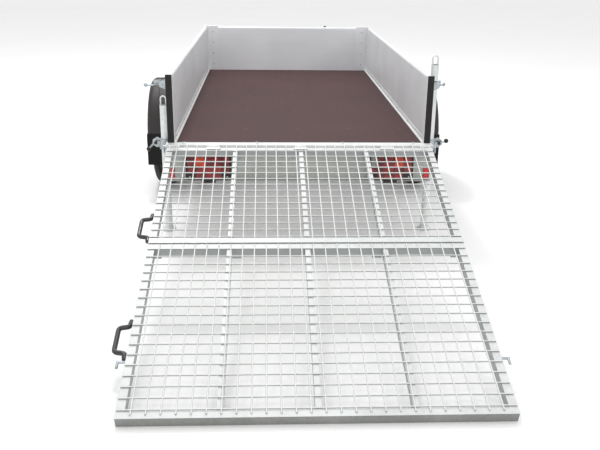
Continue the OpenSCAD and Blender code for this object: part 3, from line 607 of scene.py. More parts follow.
class Workpiece:
    """A mesh that grows part by part and ends as one piece that rides on a body."""

    def __init__(self, name: str) -> None:
        """Starts an empty mesh.

        Args:
            name: The name that the piece will have.
        """
        self.name = name
        self.mesh = bmesh.new()

    def skin(self, rings: Sequence[Sequence[Vector]], closed: bool, capped: bool) -> None:
        """Skins rings of points into a tube.

        Args:
            rings: The rings, each with the same number of points.
            closed: Whether the last ring joins the first.
            capped: Whether the two ends are closed with a face.
        """
        verts = [[self.mesh.verts.new(point) for point in ring] for ring in rings]
        count = len(verts[0])
        pairs = list(zip(verts, verts[1:])) + ([(verts[-1], verts[0])] if closed else [])
        for low, high in pairs:
            for i in range(count):
                j = (i + 1) % count
                self.mesh.faces.new((low[i], low[j], high[j], high[i]))
        if capped:
            self.mesh.faces.new(list(reversed(verts[0])))
            self.mesh.faces.new(verts[-1])

    def prism(self, outline: Sequence[tuple[float, float]], depth: float,
              place: Matrix = Matrix.Identity(4)) -> "Workpiece":
        """Adds a prism on an outline.

        Args:
            outline: Corners in the prism's own XY plane.
            depth: Its height along its own Z.
            place: Where it goes.

        Returns:
            This workpiece.
        """
        rings = [[place @ Vector((x, y, z)) for x, y in outline] for z in (0, depth)]
        self.skin(rings, False, True)
        return self

    def slab(self, low: Sequence[float], high: Sequence[float],
             place: Matrix = Matrix.Identity(4)) -> "Workpiece":
        """Adds a block between two opposite corners.

        Args:
            low: One corner.
            high: The opposite corner.
            place: The frame that the corners are given in.

        Returns:
            This workpiece.
        """
        outline = [(low[0], low[1]), (high[0], low[1]), (high[0], high[1]), (low[0], high[1])]
        return self.prism(outline, high[2] - low[2], place @ Matrix.Translation((0, 0, low[2])))

    def tube(self, path: Sequence[Vector], radius: float, sides: int = 10,
             closed: bool = False) -> "Workpiece":
        """Sweeps a round section along a path.

        Args:
            path: The points that it follows.
            radius: Radius of the section.
            sides: Number of sides of the section.
            closed: Whether the path returns to its start.

        Returns:
            This workpiece.
        """
        count = len(path)
        rings = []
        normal = None
        for i, point in enumerate(path):
            before = path[i - 1] if i or closed else point
            after = path[(i + 1) % count] if i + 1 < count or closed else point
            along = (Vector(after) - Vector(before)).normalized()
            if normal is None:
                seed = Vector((0, 0, 1)) if abs(along.z) < 0.9 else Vector((1, 0, 0))
                normal = along.cross(seed).normalized()
            normal = (normal - along * normal.dot(along)).normalized()
            other = along.cross(normal)
            rings.append([Vector(point) + radius * (math.cos(t) * normal + math.sin(t) * other)
                          for t in (2 * math.pi * k / sides for k in range(sides))])
        self.skin(rings, closed, not closed)
        return self

    def turned(self, profile: Sequence[tuple[float, float]], start: Vector, along: Vector,
               sides: int = 20) -> "Workpiece":
        """Turns a profile round an axis.

        Args:
            profile: (distance along the axis, radius) from one end to the other.
            start: Where the axis starts.
            along: Direction of the axis.
            sides: Number of sides.

        Returns:
            This workpiece.
        """
        place = facing(start, along)
        self.skin([circle(place, r, d, sides) for d, r in profile], False, True)
        return self

    def hex_bolt(self, at: Vector, along: Vector, across: float = 17 * MM,
                 height: float = 7 * MM) -> "Workpiece":
        """Adds a washer and a chamfered hexagon head.

        Args:
            at: Middle of the washer's seat.
            along: Direction that the head points.
            across: Width over the flats.
            height: Height of the head.

        Returns:
            This workpiece.
        """
        washer = 1.6 * MM
        self.turned([(0, across * 0.72), (washer, across * 0.72)], at, along)
        place = facing(at, along)
        corner = across / math.sqrt(3)
        rings = [circle(place, r, d, 6)
                 for d, r in ((washer, corner), (washer + height * 0.8, corner),
                              (washer + height, corner * 0.84))]
        self.skin(rings, False, True)
        return self

    def rivet(self, at: Vector, along: Vector, radius: float = 5 * MM) -> "Workpiece":
        """Adds a domed rivet head.

        Args:
            at: Middle of its seat.
            along: Direction that the dome points.
            radius: Radius of the head.

        Returns:
            This workpiece.
        """
        dome = [(-0.5 * MM, radius), (0.15 * radius, radius), (0.38 * radius, 0.8 * radius),
                (0.5 * radius, 0.42 * radius), (0.52 * radius, 0.2 * radius)]
        return self.turned(dome, at, along, 12)

    def bead(self, path: Sequence[Vector], radius: float) -> "Workpiece":
        """Lays a weld bead with its ripples.

        Args:
            path: Two or more points that it follows.
            radius: Radius of the bead.

        Returns:
            This workpiece.
        """
        step = radius * 0.8
        rings = []
        for start, end in zip(path, path[1:]):
            run = Vector(end) - Vector(start)
            place = facing(Vector(start), run)
            count = max(2, int(run.length / step))
            for k in range(count + 1):
                swell = radius * (0.82 + 0.18 * (k % 2))
                rings.append(circle(place, swell, run.length * k / count, 6))
        self.skin(rings, False, True)
        return self

    def fit(self, finish: Finish, body: str, bevel: float = 0.0, smooth: float = 35.0,
            stands_for: Iterable[str] = ()) -> bpy.types.Object:
        """Turns the mesh into a finished piece on its body.

        Args:
            finish: The piece's finish.
            body: The CAD body that it rides on.
            bevel: Width of the rounded edges, or 0 for none.
            smooth: Angle in degrees under which faces shade as one.
            stands_for: CAD nodes that it replaces.

        Returns:
            The finished piece.
        """
        bmesh.ops.recalc_face_normals(self.mesh, faces=self.mesh.faces)
        data = bpy.data.meshes.new(self.name)
        self.mesh.to_mesh(data)
        self.mesh.free()
        piece = bpy.data.objects.new(self.name, data)
        bpy.context.scene.collection.objects.link(piece)
        data.materials.append(finish.material())
        if bevel:
            edge = piece.modifiers.new("rounded_edges", "BEVEL")
            edge.width = bevel
            edge.segments = 2
            edge.limit_method = "ANGLE"
            edge.angle_limit = math.radians(40)
        for face in data.polygons:
            face.use_smooth = True
        data.set_sharp_from_angle(angle=math.radians(smooth))
        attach(piece, body)
        if stands_for:
            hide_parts(*stands_for)
        LOG.info("%s: %d faces on %s", self.name, len(data.polygons), body)
        return piece


def facing(start: Vector, along: Vector) -> Matrix:
    """Makes a frame whose own Z points along a direction.

    Args:
        start: Its origin.
        along: The direction.

    Returns:
        The frame as a matrix.
    """
    return Matrix.Translation(start) @ Vector(along).to_track_quat("Z", "Y").to_matrix().to_4x4()


def axes(at: Sequence[float], x: Vector, y: Vector, z: Vector) -> Matrix:
    """Makes a frame from its origin and its three directions.

    Args:
        at: Its origin.
        x: Where its own X points.
        y: Where its own Y points.
        z: Where its own Z points.

    Returns:
        The frame as a matrix.
    """
    return Matrix.Translation(at) @ Matrix((x, y, z)).transposed().to_4x4()


def circle(place: Matrix, radius: float, height: float, sides: int) -> list[Vector]:
    """Gives the points of a circle about a frame's own Z.

    Args:
        place: The frame.
        radius: Radius of the circle.
        height: How far along Z it lies.
        sides: Number of points.

    Returns:
        The points.
    """
    turns = [2 * math.pi * k / sides for k in range(sides)]
    return [place @ Vector((radius * math.cos(t), radius * math.sin(t), height)) for t in turns]


def arc(centre: Vector, radius: float, first: float, last: float, u: Vector, v: Vector,
        steps: int = 12) -> list[Vector]:
    """Gives points on an arc.

    Args:
        centre: The arc's centre.
        radius: Its radius.
        first: Start angle in degrees, from u towards v.
        last: End angle in degrees.
        u: Direction of angle 0.
        v: Direction of angle 90.
        steps: Number of steps.

    Returns:
        The points.
    """
    turns = [math.radians(first + (last - first) * k / steps) for k in range(steps + 1)]
    return [centre + radius * (math.cos(t) * u + math.sin(t) * v) for t in turns]


def rounded(corners: Sequence[Vector], radius: float, steps: int = 5) -> list[Vector]:
    """Rounds the corners of a bent rod's path.

    Args:
        corners: The path's corners, its two ends included.
        radius: Distance from each inner corner at which the bend starts.
        steps: Steps in each bend.

    Returns:
        The points of the rounded path.
    """
    path = [Vector(corners[0])]
    for before, corner, after in zip(corners, corners[1:], corners[2:]):
        start = corner + radius * (before - corner).normalized()
        end = corner + radius * (after - corner).normalized()
        for k in range(steps + 1):
            t = k / steps
            path.append((1 - t) ** 2 * start + 2 * t * (1 - t) * corner + t ** 2 * end)
    return path + [Vector(corners[-1])]


def evenly(first: float, last: float, count: int) -> list[float]:
    """Gives evenly spaced values from first to last.

    Args:
        first: The first value.
        last: The last value.
        count: How many.

    Returns:
        The values.
    """
    return [first + (last - first) * k / (count - 1) for k in range(count)]


def rounded_rectangle(low: tuple[float, float], high: tuple[float, float], radius: float,
                      steps: int = 4) -> list[tuple[float, float]]:
    """Outlines a rectangle with rounded corners.

    Args:
        low: Its lowest corner.
        high: Its highest corner.
        radius: Radius of the corners.
        steps: Steps in each corner.

    Returns:
        The outline's points.
    """
    points = []
    corners = [(high[0] - radius, high[1] - radius, 0), (low[0] + radius, high[1] - radius, 90),
               (low[0] + radius, low[1] + radius, 180), (high[0] - radius, low[1] + radius, 270)]
    for x, y, start in corners:
        for k in range(steps + 1):
            turn = math.radians(start + 90 * k / steps)
            points.append((x + radius * math.cos(turn), y + radius * math.sin(turn)))
    return points


# ---------- Sub-assemblies ----------


@dataclass
class LoadBed(Assembly):
    """Floor, boards, posts and strips of the load bed, with their fixings."""

    finishes = {
        PLYWOOD: ("floor_panel",),
        ANODISED: ("left_side_board", "right_side_board"),
        ANODISED_CROSS: ("front_board",),
        MILL_POST: ("left_front_corner", "right_front_corner"),
        PVC: ("left_rear_strip", "right_rear_strip"),
        MILL_ALUMINIUM: ("floor_trims",),
    }

    screw_r: float = 6 * MM
    screw_inset: float = 22 * MM
    member_shares: tuple[float, ...] = (0.13, 0.33, 0.53, 0.73)
    rib: float = 1.5 * MM
    rib_pitch: float = 58 * MM
    rib_count: int = 6
    strip_lap: float = 3 * MM
    flute_shares: tuple[float, ...] = (0.15, 0.38, 0.62, 0.85)

    def __post_init__(self) -> None:
        """Reads the bed's places from the frame."""
        self.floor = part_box("floor_panel")
        self.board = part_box("right_side_board")
        self.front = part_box("front_board")
        self.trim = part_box("floor_trims")

    def build(self) -> None:
        """Builds screws, rivets, ribs, strips and latches."""
        self.floor_screws()
        self.trim_rivets()
        self.board_ribs()
        self.rear_strips()
        self.corner_caps()
        self.front_latches()

    def floor_screws(self) -> None:
        """Sinks a row of screws along the floor's rear and front edges and over each member."""
        low, high = self.floor
        work = Workpiece("floor_screws")
        rows = [low.y + self.screw_inset, high.y - self.screw_inset]
        rows += [low.y + (high.y - low.y) * share for share in self.member_shares]
        for y in rows:
            for x in evenly(low.x + 60 * MM, high.x - 60 * MM, 5):
                work.turned([(-1 * MM, self.screw_r), (0.4 * MM, self.screw_r),
                             (0.6 * MM, self.screw_r * 0.5)], Vector((x, y, high.z)),
                            Axis.Z.value, 14)
        work.fit(PLYWOOD_SCREW, "chassis")

    def trim_rivets(self) -> None:
        """Sets rivets along the angle trims at both sides of the floor."""
        work = Workpiece("trim_rivets")
        low, high = self.trim
        for side in Side:
            x = (abs(low.x) - 3.2 * MM) * side.value
            for y in evenly(low.y + 90 * MM, high.y - 90 * MM, 7):
                work.rivet(Vector((x, y, high.z - 9 * MM)), -side.out, 5 * MM)
        work.fit(ZINC, "chassis")

    def board_ribs(self) -> None:
        """Runs the extruded ribs along the outer faces of the boards."""
        work = Workpiece("board_ribs")
        low, high = self.board
        heights = [low.z + 20 * MM + k * self.rib_pitch for k in range(self.rib_count)]
        outline = [(-2 * MM, -4 * MM), (self.rib, -2.5 * MM), (self.rib, 2.5 * MM),
                   (-2 * MM, 4 * MM)]
        x, y, z = (axis.value for axis in Axis)
        for side in Side:
            for height in heights:
                place = axes((high.x * side.value, low.y, height), side.value * x, z, y)
                work.prism(outline, high.y - low.y - 1 * MM, place)
        start, end = self.front
        for height in heights:
            work.prism(outline, end.x - start.x, axes((start.x, end.y, height), y, z, x))
        work.fit(ANODISED, "chassis")

    def rear_strips(self) -> None:
        """Adds the ribs and the bright inner edges of the strips at the boards' rear ends."""
        ribs = Workpiece("rear_strip_ribs")
        edges = Workpiece("rear_strip_edges")
        for side in Side:
            low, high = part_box(f"{side.label}_rear_strip")
            wide = (low.x - self.strip_lap, high.x + self.strip_lap)
            ribs.slab((wide[0], low.y - 1 * MM, low.z), (wide[1], low.y + 3 * MM, high.z))
            for share in self.flute_shares:
                x = wide[0] + (wide[1] - wide[0]) * share
                outline = [(-3 * MM, 0.5 * MM), (-1.6 * MM, -2.4 * MM), (1.6 * MM, -2.4 * MM),
                           (3 * MM, 0.5 * MM)]
                ribs.prism(outline, high.z - low.z - 2 * MM,
                           Matrix.Translation((x, low.y - 1 * MM, low.z + 1 * MM)))
            inner = wide[0] if side is Side.RIGHT else wide[1]
            lip = sorted((inner, inner - side.value * 2.4 * MM))
            edges.slab((lip[0], low.y + 1 * MM, low.z), (lip[1], high.y + 30 * MM, high.z - 1 * MM))
        ribs.fit(PVC, "chassis")
        edges.fit(MILL_ALUMINIUM, "chassis", 0.5 * MM)

    def corner_caps(self) -> None:
        """Sets a cap on each front post, with the rivets that hold the post."""
        caps = Workpiece("corner_caps")
        rivets = Workpiece("post_rivets")
        for side in Side:
            low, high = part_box(f"{side.label}_front_corner")
            outer = side.value * self.board[1].x
            x = sorted((low.x if side is Side.RIGHT else high.x, outer))
            caps.slab((x[0], low.y - 2 * MM, high.z - 1 * MM),
                      (x[1], high.y + 2 * MM, high.z + 5 * MM))
            for z in evenly(low.z + 60 * MM, high.z - 40 * MM, 4):
                rivets.rivet(Vector(((low.x + high.x) / 2, low.y, z)), -Axis.Y.value, 4.5 * MM)
        caps.fit(MILL_ALUMINIUM, "chassis", 2 * MM)
        rivets.fit(ZINC, "chassis")

    def front_latches(self) -> None:
        """Adds the over-centre latches on the front wall's corners."""
        work = Workpiece("front_latches")
        for side in Side:
            low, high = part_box(f"{side.label}_front_corner")
            x = side.value * (self.board[1].x - 14 * MM)
            for z in (high.z - 70 * MM, low.z + 60 * MM):
                seat = Matrix.Translation((x, high.y, z))
                work.slab((-11 * MM, 0, -26 * MM), (11 * MM, 4 * MM, 26 * MM), seat)
                work.slab((-7 * MM, 4 * MM, -10 * MM), (7 * MM, 16 * MM, 34 * MM), seat)
                work.turned([(0, 4 * MM), (30 * MM, 4 * MM)],
                            seat @ Vector((-15 * MM, 10 * MM, -14 * MM)), Axis.X.value, 12)
        work.fit(ZINC, "chassis", 1 * MM)


@dataclass
class Chassis(Assembly):
    """Rails, members, rear beam and lamp plate, with their bolts and welds."""

    finishes = {
        CHASSIS_ZINC: ("left_side_rail", "right_side_rail", "cross_members", "mudguard_brackets",
                       "axle_beam"),
        BEAM_ZINC: ("rear_beam",),
        PLATE_ZINC: ("lamp_plate",),
    }

    screw_places: tuple[float, ...] = (-0.597, -0.223, 0.219, 0.588)
    lip_d: float = 28 * MM
    members: int = 5

    def build(self) -> None:
        """Builds the bolts, the welds and the beam's screws."""
        self.rail_bolts()
        self.beam_screws()
        self.plate_bolts()
        self.member_welds()

    def rail_bolts(self) -> None:
        """Sets bolts through the rails' outer faces into the boards' feet."""
        work = Workpiece("rail_bolts")
        for side in Side:
            low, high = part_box(f"{side.label}_side_rail")
            x = side.value * max(abs(low.x), abs(high.x))
            for y in evenly(low.y + 340 * MM, high.y - 120 * MM, 8):
                work.hex_bolt(Vector((x, y, high.z - 22 * MM)), side.out,
                              13 * MM, 5 * MM)
        work.fit(ZINC, "chassis", 0.4 * MM)

    def beam_screws(self) -> None:
        """Sets four flat screws in the top of the rear beam."""
        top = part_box("rear_beam")[1].z
        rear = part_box("floor_panel")[0].y
        work = Workpiece("beam_screws")
        for x in self.screw_places:
            work.rivet(Vector((x, rear - 25 * MM, top)), Axis.Z.value, 7 * MM)
        work.fit(ZINC, "chassis")

    def plate_bolts(self) -> None:
        """Bolts the lamp plate to the beam."""
        low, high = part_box("lamp_plate")
        work = Workpiece("plate_bolts")
        for x in evenly(low.x + 60 * MM, high.x - 60 * MM, 6):
            work.hex_bolt(Vector((x, low.y + self.lip_d, high.z - 15 * MM)), -Axis.Y.value,
                          10 * MM, 4 * MM)
        work.fit(ZINC, "chassis", 0.3 * MM)

    def member_welds(self) -> None:
        """Lays a bead along each end of every cross member but the front one."""
        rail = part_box("right_side_rail")[0]
        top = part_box("cross_members")[1].z
        step = (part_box("floor_panel")[1].y - rail.y) / self.members
        work = Workpiece("member_welds")
        for side in Side:
            for k in range(self.members - 1):
                y = rail.y + (k + 0.6) * step - 1 * MM
                work.bead([Vector((side.value * rail.x, y, top - 4 * MM)),
                           Vector((side.value * rail.x, y, top - 56 * MM))], 3 * MM)
        work.fit(CHASSIS_ZINC, "chassis")


@dataclass
class Drawbar(Assembly):
    """Drawbar arms, nose plates and ball coupling."""

    finishes = {
        CHASSIS_ZINC: ("left_drawbar_arm", "right_drawbar_arm", "drawbar_nose"),
        CAST: ("coupling_head",),
        ZINC: ("coupling_lever",),
    }

    grip_len: float = 92 * MM
    grip_ribs: int = 12
    arm_slope: float = 0.33

    def build(self) -> None:
        """Builds the bolts, the lever's grip, the arms' clamps and the coupling's lip."""
        self.nose_bolts()
        self.lever_grip()
        self.arm_clamps()
        self.coupling_trim()

    def nose_bolts(self) -> None:
        """Bolts the nose plates through the arms."""
        low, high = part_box("drawbar_nose")
        work = Workpiece("nose_bolts")
        for side in Side:
            for share, x in ((0.2, 52 * MM), (0.62, 40 * MM)):
                y = low.y + (high.y - low.y) * share
                work.hex_bolt(Vector((side.value * x, y, high.z)), Axis.Z.value)
                work.hex_bolt(Vector((side.value * x, y, low.z)), -Axis.Z.value)
        work.fit(ZINC, "chassis", 0.5 * MM)

    def lever_grip(self) -> None:
        """Slips a ribbed red sleeve over the end of the coupling's lever."""
        low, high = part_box("coupling_lever")
        work = Workpiece("lever_grip")
        profile = [(self.grip_len * k / self.grip_ribs, (11.5 if k % 2 else 10.5) * MM)
                   for k in range(1, self.grip_ribs)]
        profile = [(0, 8 * MM), *profile, (self.grip_len, 8 * MM)]
        work.turned(profile, Vector((0, low.y + 0.5 * MM, high.z - 5 * MM)), Axis.Y.value, 20)
        work.fit(VINYL, "chassis")

    def arm_clamps(self) -> None:
        """Bolts each arm to its side rail through a folded clamp."""
        work = Workpiece("arm_clamps")
        for side in Side:
            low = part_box(f"{side.label}_drawbar_arm")[0]
            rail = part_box(f"{side.label}_side_rail")
            for along in (60 * MM, 190 * MM):
                x = (rail[0].x + rail[1].x) / 2 - side.value * self.arm_slope * along
                y = low.y + along
                work.slab((x - 34 * MM, y, low.z - 6 * MM), (x + 34 * MM, y + 40 * MM, low.z))
                for end in (-27 * MM, 27 * MM):
                    work.hex_bolt(Vector((x + end, y + 20 * MM, low.z - 6 * MM)), -Axis.Z.value,
                                  13 * MM, 6 * MM)
        work.fit(ZINC, "chassis", 1 * MM)

    def coupling_trim(self) -> None:
        """Adds the coupling's cross bolts and the lip round its socket."""
        low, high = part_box("coupling_head")
        centre_y = high.y - (high.x - low.x) / 2
        work = Workpiece("coupling_bolts")
        for y in (low.y + 30 * MM, low.y + 120 * MM):
            for side in Side:
                work.hex_bolt(Vector((side.value * 30 * MM, y, low.z + 48 * MM)),
                              side.out, 17 * MM, 7 * MM)
        work.fit(ZINC, "chassis", 0.5 * MM)
        ring = Workpiece("coupling_lip")
        radius = (high.x - low.x) / 2 - 2.8 * MM
        ring.tube(arc(Vector((0, centre_y, low.z + 3 * MM)), radius, 0, 345, Axis.X.value,
                      Axis.Y.value, 46), 2.6 * MM, 8, False)
        ring.fit(CAST, "chassis")


@dataclass
class RunningGear(Assembly):
    """Axle arms, hubs, wheels and tyres."""

    finishes = {
        CHASSIS_ZINC: ("left_axle_arm", "right_axle_arm"),
        HUB_STEEL: ("left_hub", "right_hub"),
        WHEEL: ("left_rim", "right_rim"),
    }

    bead_r: float = 166.5 * MM
    bead_share: float = 0.78
    squareness: float = 2 / 2.7
    tread_depth: float = 7 * MM
    groove_w: float = 9 * MM
    groove_shares: tuple[float, ...] = (-0.36, -0.12, 0.12, 0.36)
    blocks: int = 60
    block_steps: int = 6
    arc_steps: int = 22
    span: float = 4.4 * MM
    bolt_circle: float = 50 * MM
    bolt_count: int = 4
    nose_h: float = 31 * MM

    def build(self) -> None:
        """Builds both wheels."""
        for side in Side:
            self.tyre(side)
            self.wheel_bolts(side)
            self.valve(side)
            self.dust_cap(side)

    def tyre(self, side: Side) -> None:
        """Builds a tyre with its tread blocks, shoulder lugs and sidewall rings.

        Args:
            side: The side that it is on.
        """
        low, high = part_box(f"{side.label}_tyre")
        centre = (low + high) / 2
        outer = (high.z - low.z) / 2
        half = (high.x - low.x) / 2
        section = self.section(outer, half)
        around = self.blocks * self.block_steps
        rings = []
        for step in range(around):
            turn = 2 * math.pi * step / around
            ring = []
            for r, x in section:
                r -= self.carved(r / outer, x / half, half, step)
                ring.append(Vector((centre.x + x, centre.y + r * math.cos(turn),
                                    centre.z + r * math.sin(turn))))
            rings.append(ring)
        work = Workpiece(f"{side.label}_treaded_tyre")
        work.skin(rings, True, False)
        work.fit(TYRE, f"{side.label}_wheel", 0, 40, (f"{side.label}_tyre",))

    def section(self, outer: float, half: float) -> list[tuple[float, float]]:
        """Outlines half of the tyre's cut, from bead to bead over the tread.

        Args:
            outer: The tyre's radius.
            half: Half of its width.

        Returns:
            (radius, x) points, close enough for grooves.
        """
        points = [(self.bead_r, -self.bead_share * half)]
        for k in range(-self.arc_steps, self.arc_steps + 1):
            turn = math.radians(90 * (1 - abs(k) / self.arc_steps))
            r = self.bead_r + (outer - self.bead_r) * (0.42 + 0.58 * math.sin(turn) ** self.squareness)
            points.append((r, math.copysign(half * math.cos(turn) ** self.squareness, k)))
        return self.refined([*points, (self.bead_r, self.bead_share * half)])

    def carved(self, height: float, across: float, half: float, step: int) -> float:
        """Says how deep the tread's pattern cuts at a point.

        Args:
            height: The point's radius as a share of the tyre's.
            across: Its place across the tread, from -1 to 1.
            half: Half of the tyre's width.
            step: Its step round the tyre.

        Returns:
            The depth; negative where a ring stands out of the sidewall.
        """
        if height <= 0.93:
            return -0.6 * MM if 0.70 < height < 0.73 or 0.80 < height < 0.815 else 0.0
        in_groove = any(abs(across - groove) * half < self.groove_w / 2
                        for groove in self.groove_shares)
        if (step + (3 if across > 0 else 0) + int(abs(across) * 4)) % self.block_steps == 0:
            if abs(across) > 0.4:
                return self.tread_depth * 0.8
            return self.tread_depth * (1.0 if in_groove else 0.35)
        return self.tread_depth if in_groove else 0.0

    def refined(self, section: Sequence[tuple[float, float]]) -> list[tuple[float, float]]:
        """Splits a section's long spans so that grooves have points to move.

        Args:
            section: (radius, x) points.

        Returns:
            The section with short spans only.
        """
        points = []
        for (r0, x0), (r1, x1) in zip(section, section[1:]):
            count = max(1, math.ceil(math.hypot(r1 - r0, x1 - x0) / self.span))
            points += [(r0 + (r1 - r0) * k / count, x0 + (x1 - x0) * k / count)
                       for k in range(count)]
        return points + [section[-1]]

    def wheel_bolts(self, side: Side) -> None:
        """Sets the wheel bolts on their circle.

        Args:
            side: The side that they are on.
        """
        low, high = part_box(f"{side.label}_rim")
        centre = (low + high) / 2
        face = self.nose(side) - self.nose_h
        work = Workpiece(f"{side.label}_wheel_bolts")
        for k in range(self.bolt_count):
            turn = math.radians(45 + 360 / self.bolt_count * k)
            at = Vector((side.value * face, centre.y + self.bolt_circle * math.cos(turn),
                         centre.z + self.bolt_circle * math.sin(turn)))
            work.turned([(-6 * MM, 6 * MM), (0, 6 * MM), (0, 12 * MM), (3 * MM, 12 * MM)], at,
                        side.out, 16)
            work.hex_bolt(at + side.value * 2 * MM * Axis.X.value, side.out,
                          17 * MM, 12 * MM)
        work.fit(ZINC, f"{side.label}_wheel", 0.6 * MM)

    def nose(self, side: Side) -> float:
        """Gives how far the hub's nose stands from the trailer's middle."""
        return max(abs(corner.x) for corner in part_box(f"{side.label}_hub"))

    def valve(self, side: Side) -> None:
        """Adds the tyre valve through the wheel's well.

        Args:
            side: The side that it is on.
        """
        low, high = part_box(f"{side.label}_rim")
        centre = (low + high) / 2
        at = centre + Vector((side.value * 34 * MM, 0, 150 * MM))
        work = Workpiece(f"{side.label}_tyre_valve")
        work.turned([(0, 7.5 * MM), (4 * MM, 7.5 * MM), (8 * MM, 4.5 * MM), (26 * MM, 4 * MM),
                     (27 * MM, 5 * MM), (37 * MM, 5 * MM), (38 * MM, 3.8 * MM)], at,
                    Vector((side.value, 0, -0.25)), 14)
        work.fit(TYRE, f"{side.label}_wheel")

    def dust_cap(self, side: Side) -> None:
        """Presses a domed dust cap on the hub's nose.

        Args:
            side: The side that it is on.
        """
        low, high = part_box(f"{side.label}_hub")
        centre = (low + high) / 2
        work = Workpiece(f"{side.label}_dust_cap")
        work.turned([(-9 * MM, 32.6 * MM), (-1 * MM, 32.6 * MM), (0, 31.4 * MM), (1 * MM, 29 * MM),
                     (6 * MM, 27 * MM), (9 * MM, 23 * MM), (10.5 * MM, 14 * MM), (11 * MM, 4 * MM)],
                    Vector((side.value * self.nose(side), centre.y, centre.z)),
                    side.out, 40)
        work.fit(ZINC, f"{side.label}_wheel")


@dataclass
class Mudguards(Assembly):
    """Moulded mudguards with their screws, hem, stiffening ribs and black flaps of painted shade."""

    finishes = {POLYETHYLENE: ("left_mudguard", "right_mudguard")}

    flap_top: float = 170.5
    flap_t: float = 2.5 * MM

    def build(self) -> None:
        """Builds the hem, the ribs, the black flap of painted shade and the fixing screws."""
        for side in Side:
            self.hem(side)
            self.flap(side)
            self.screws(side)

    def arch(self, side: Side) -> tuple[Vector, Vector, float, Vector]:
        """Finds a mudguard's box and its arch.

        Args:
            side: The side that it is on.

        Returns:
            Its lowest and highest corners, the arch's outer radius, and its centre at x = 0.
        """
        low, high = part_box(f"{side.label}_mudguard")
        radius = (high.y - low.y) / 2
        return low, high, radius, Vector((0, (low.y + high.y) / 2, high.z - radius))

    def hem(self, side: Side) -> None:
        """Runs a rounded hem along the outer edge of the arch and a rib over its crown.

        Args:
            side: The side that it is on.
        """
        low, high, outer_r, centre = self.arch(side)
        x = side.value * max(abs(low.x), abs(high.x))
        work = Workpiece(f"{side.label}_mudguard_hem")
        radius = outer_r - 45 * MM + 3 * MM
        path = arc(Vector((x - side.value * 4 * MM, centre.y, centre.z)), radius, 0, 180,
                   Axis.Y.value, Axis.Z.value, 60)
        work.tube(path, 3.6 * MM, 8)
        for inset in (70 * MM, 120 * MM):
            ribs = arc(Vector((x - side.value * inset, centre.y, centre.z)), outer_r - 1.2 * MM,
                       14, 166, Axis.Y.value, Axis.Z.value, 60)
            work.tube(ribs, 2.6 * MM, 8)
        work.fit(POLYETHYLENE, "chassis")

    def flap(self, side: Side) -> None:
        """Rivets a dead black flap over the rear foot of the arch, painted shade where the guard's rear
        is in shadow.

        Args:
            side: The side that it is on.
        """
        low, high, outer_r, middle = self.arch(side)
        inner = side.value * (min(abs(low.x), abs(high.x)) + 3 * MM)
        outer = side.value * (max(abs(low.x), abs(high.x)) - 1 * MM)
        # Painted shade: the flap's dead black stands for the shadow under the guard's rear.
        work = Workpiece(f"{side.label}_mud_flap")
        rings = []
        for k in range(9):
            turn = math.radians(self.flap_top + (180 - self.flap_top) * k / 8)
            spoke = Vector((0, math.cos(turn), math.sin(turn)))
            rings.append([middle + (outer_r + lift) * spoke + Vector((x, 0, 0))
                          for x, lift in ((inner, -0.5 * MM), (inner, self.flap_t),
                                          (outer, self.flap_t), (outer, -0.5 * MM))])
        rings.append([Vector((point.x, point.y, low.z + 1 * MM)) for point in rings[-1]])
        work.skin(rings, False, True)
        spoke = Vector((0, math.cos(math.radians(self.flap_top + 3)),
                        math.sin(math.radians(self.flap_top + 3))))
        for x in evenly(inner + side.value * 18 * MM, outer - side.value * 18 * MM, 4):
            work.rivet(middle + (outer_r + self.flap_t) * spoke + Vector((x, 0, 0)), spoke, 5 * MM)
        work.fit(FLAP_SHADE_BLACK, "chassis", 0.6 * MM)

    def screws(self, side: Side) -> None:
        """Sets the screws that hold the guard to its brackets.

        Args:
            side: The side that they are on.
        """
        low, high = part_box(f"{side.label}_mudguard")
        inner = side.value * min(abs(low.x), abs(high.x))
        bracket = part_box("mudguard_brackets")
        work = Workpiece(f"{side.label}_mudguard_screws")
        for y in (bracket[0].y + 15 * MM, bracket[1].y - 15 * MM):
            work.hex_bolt(Vector((inner + side.value * 5 * MM, y,
                                  (bracket[0].z + bracket[1].z) / 2)),
                          side.out, 13 * MM, 5 * MM)
        work.fit(ZINC, "chassis", 0.4 * MM)


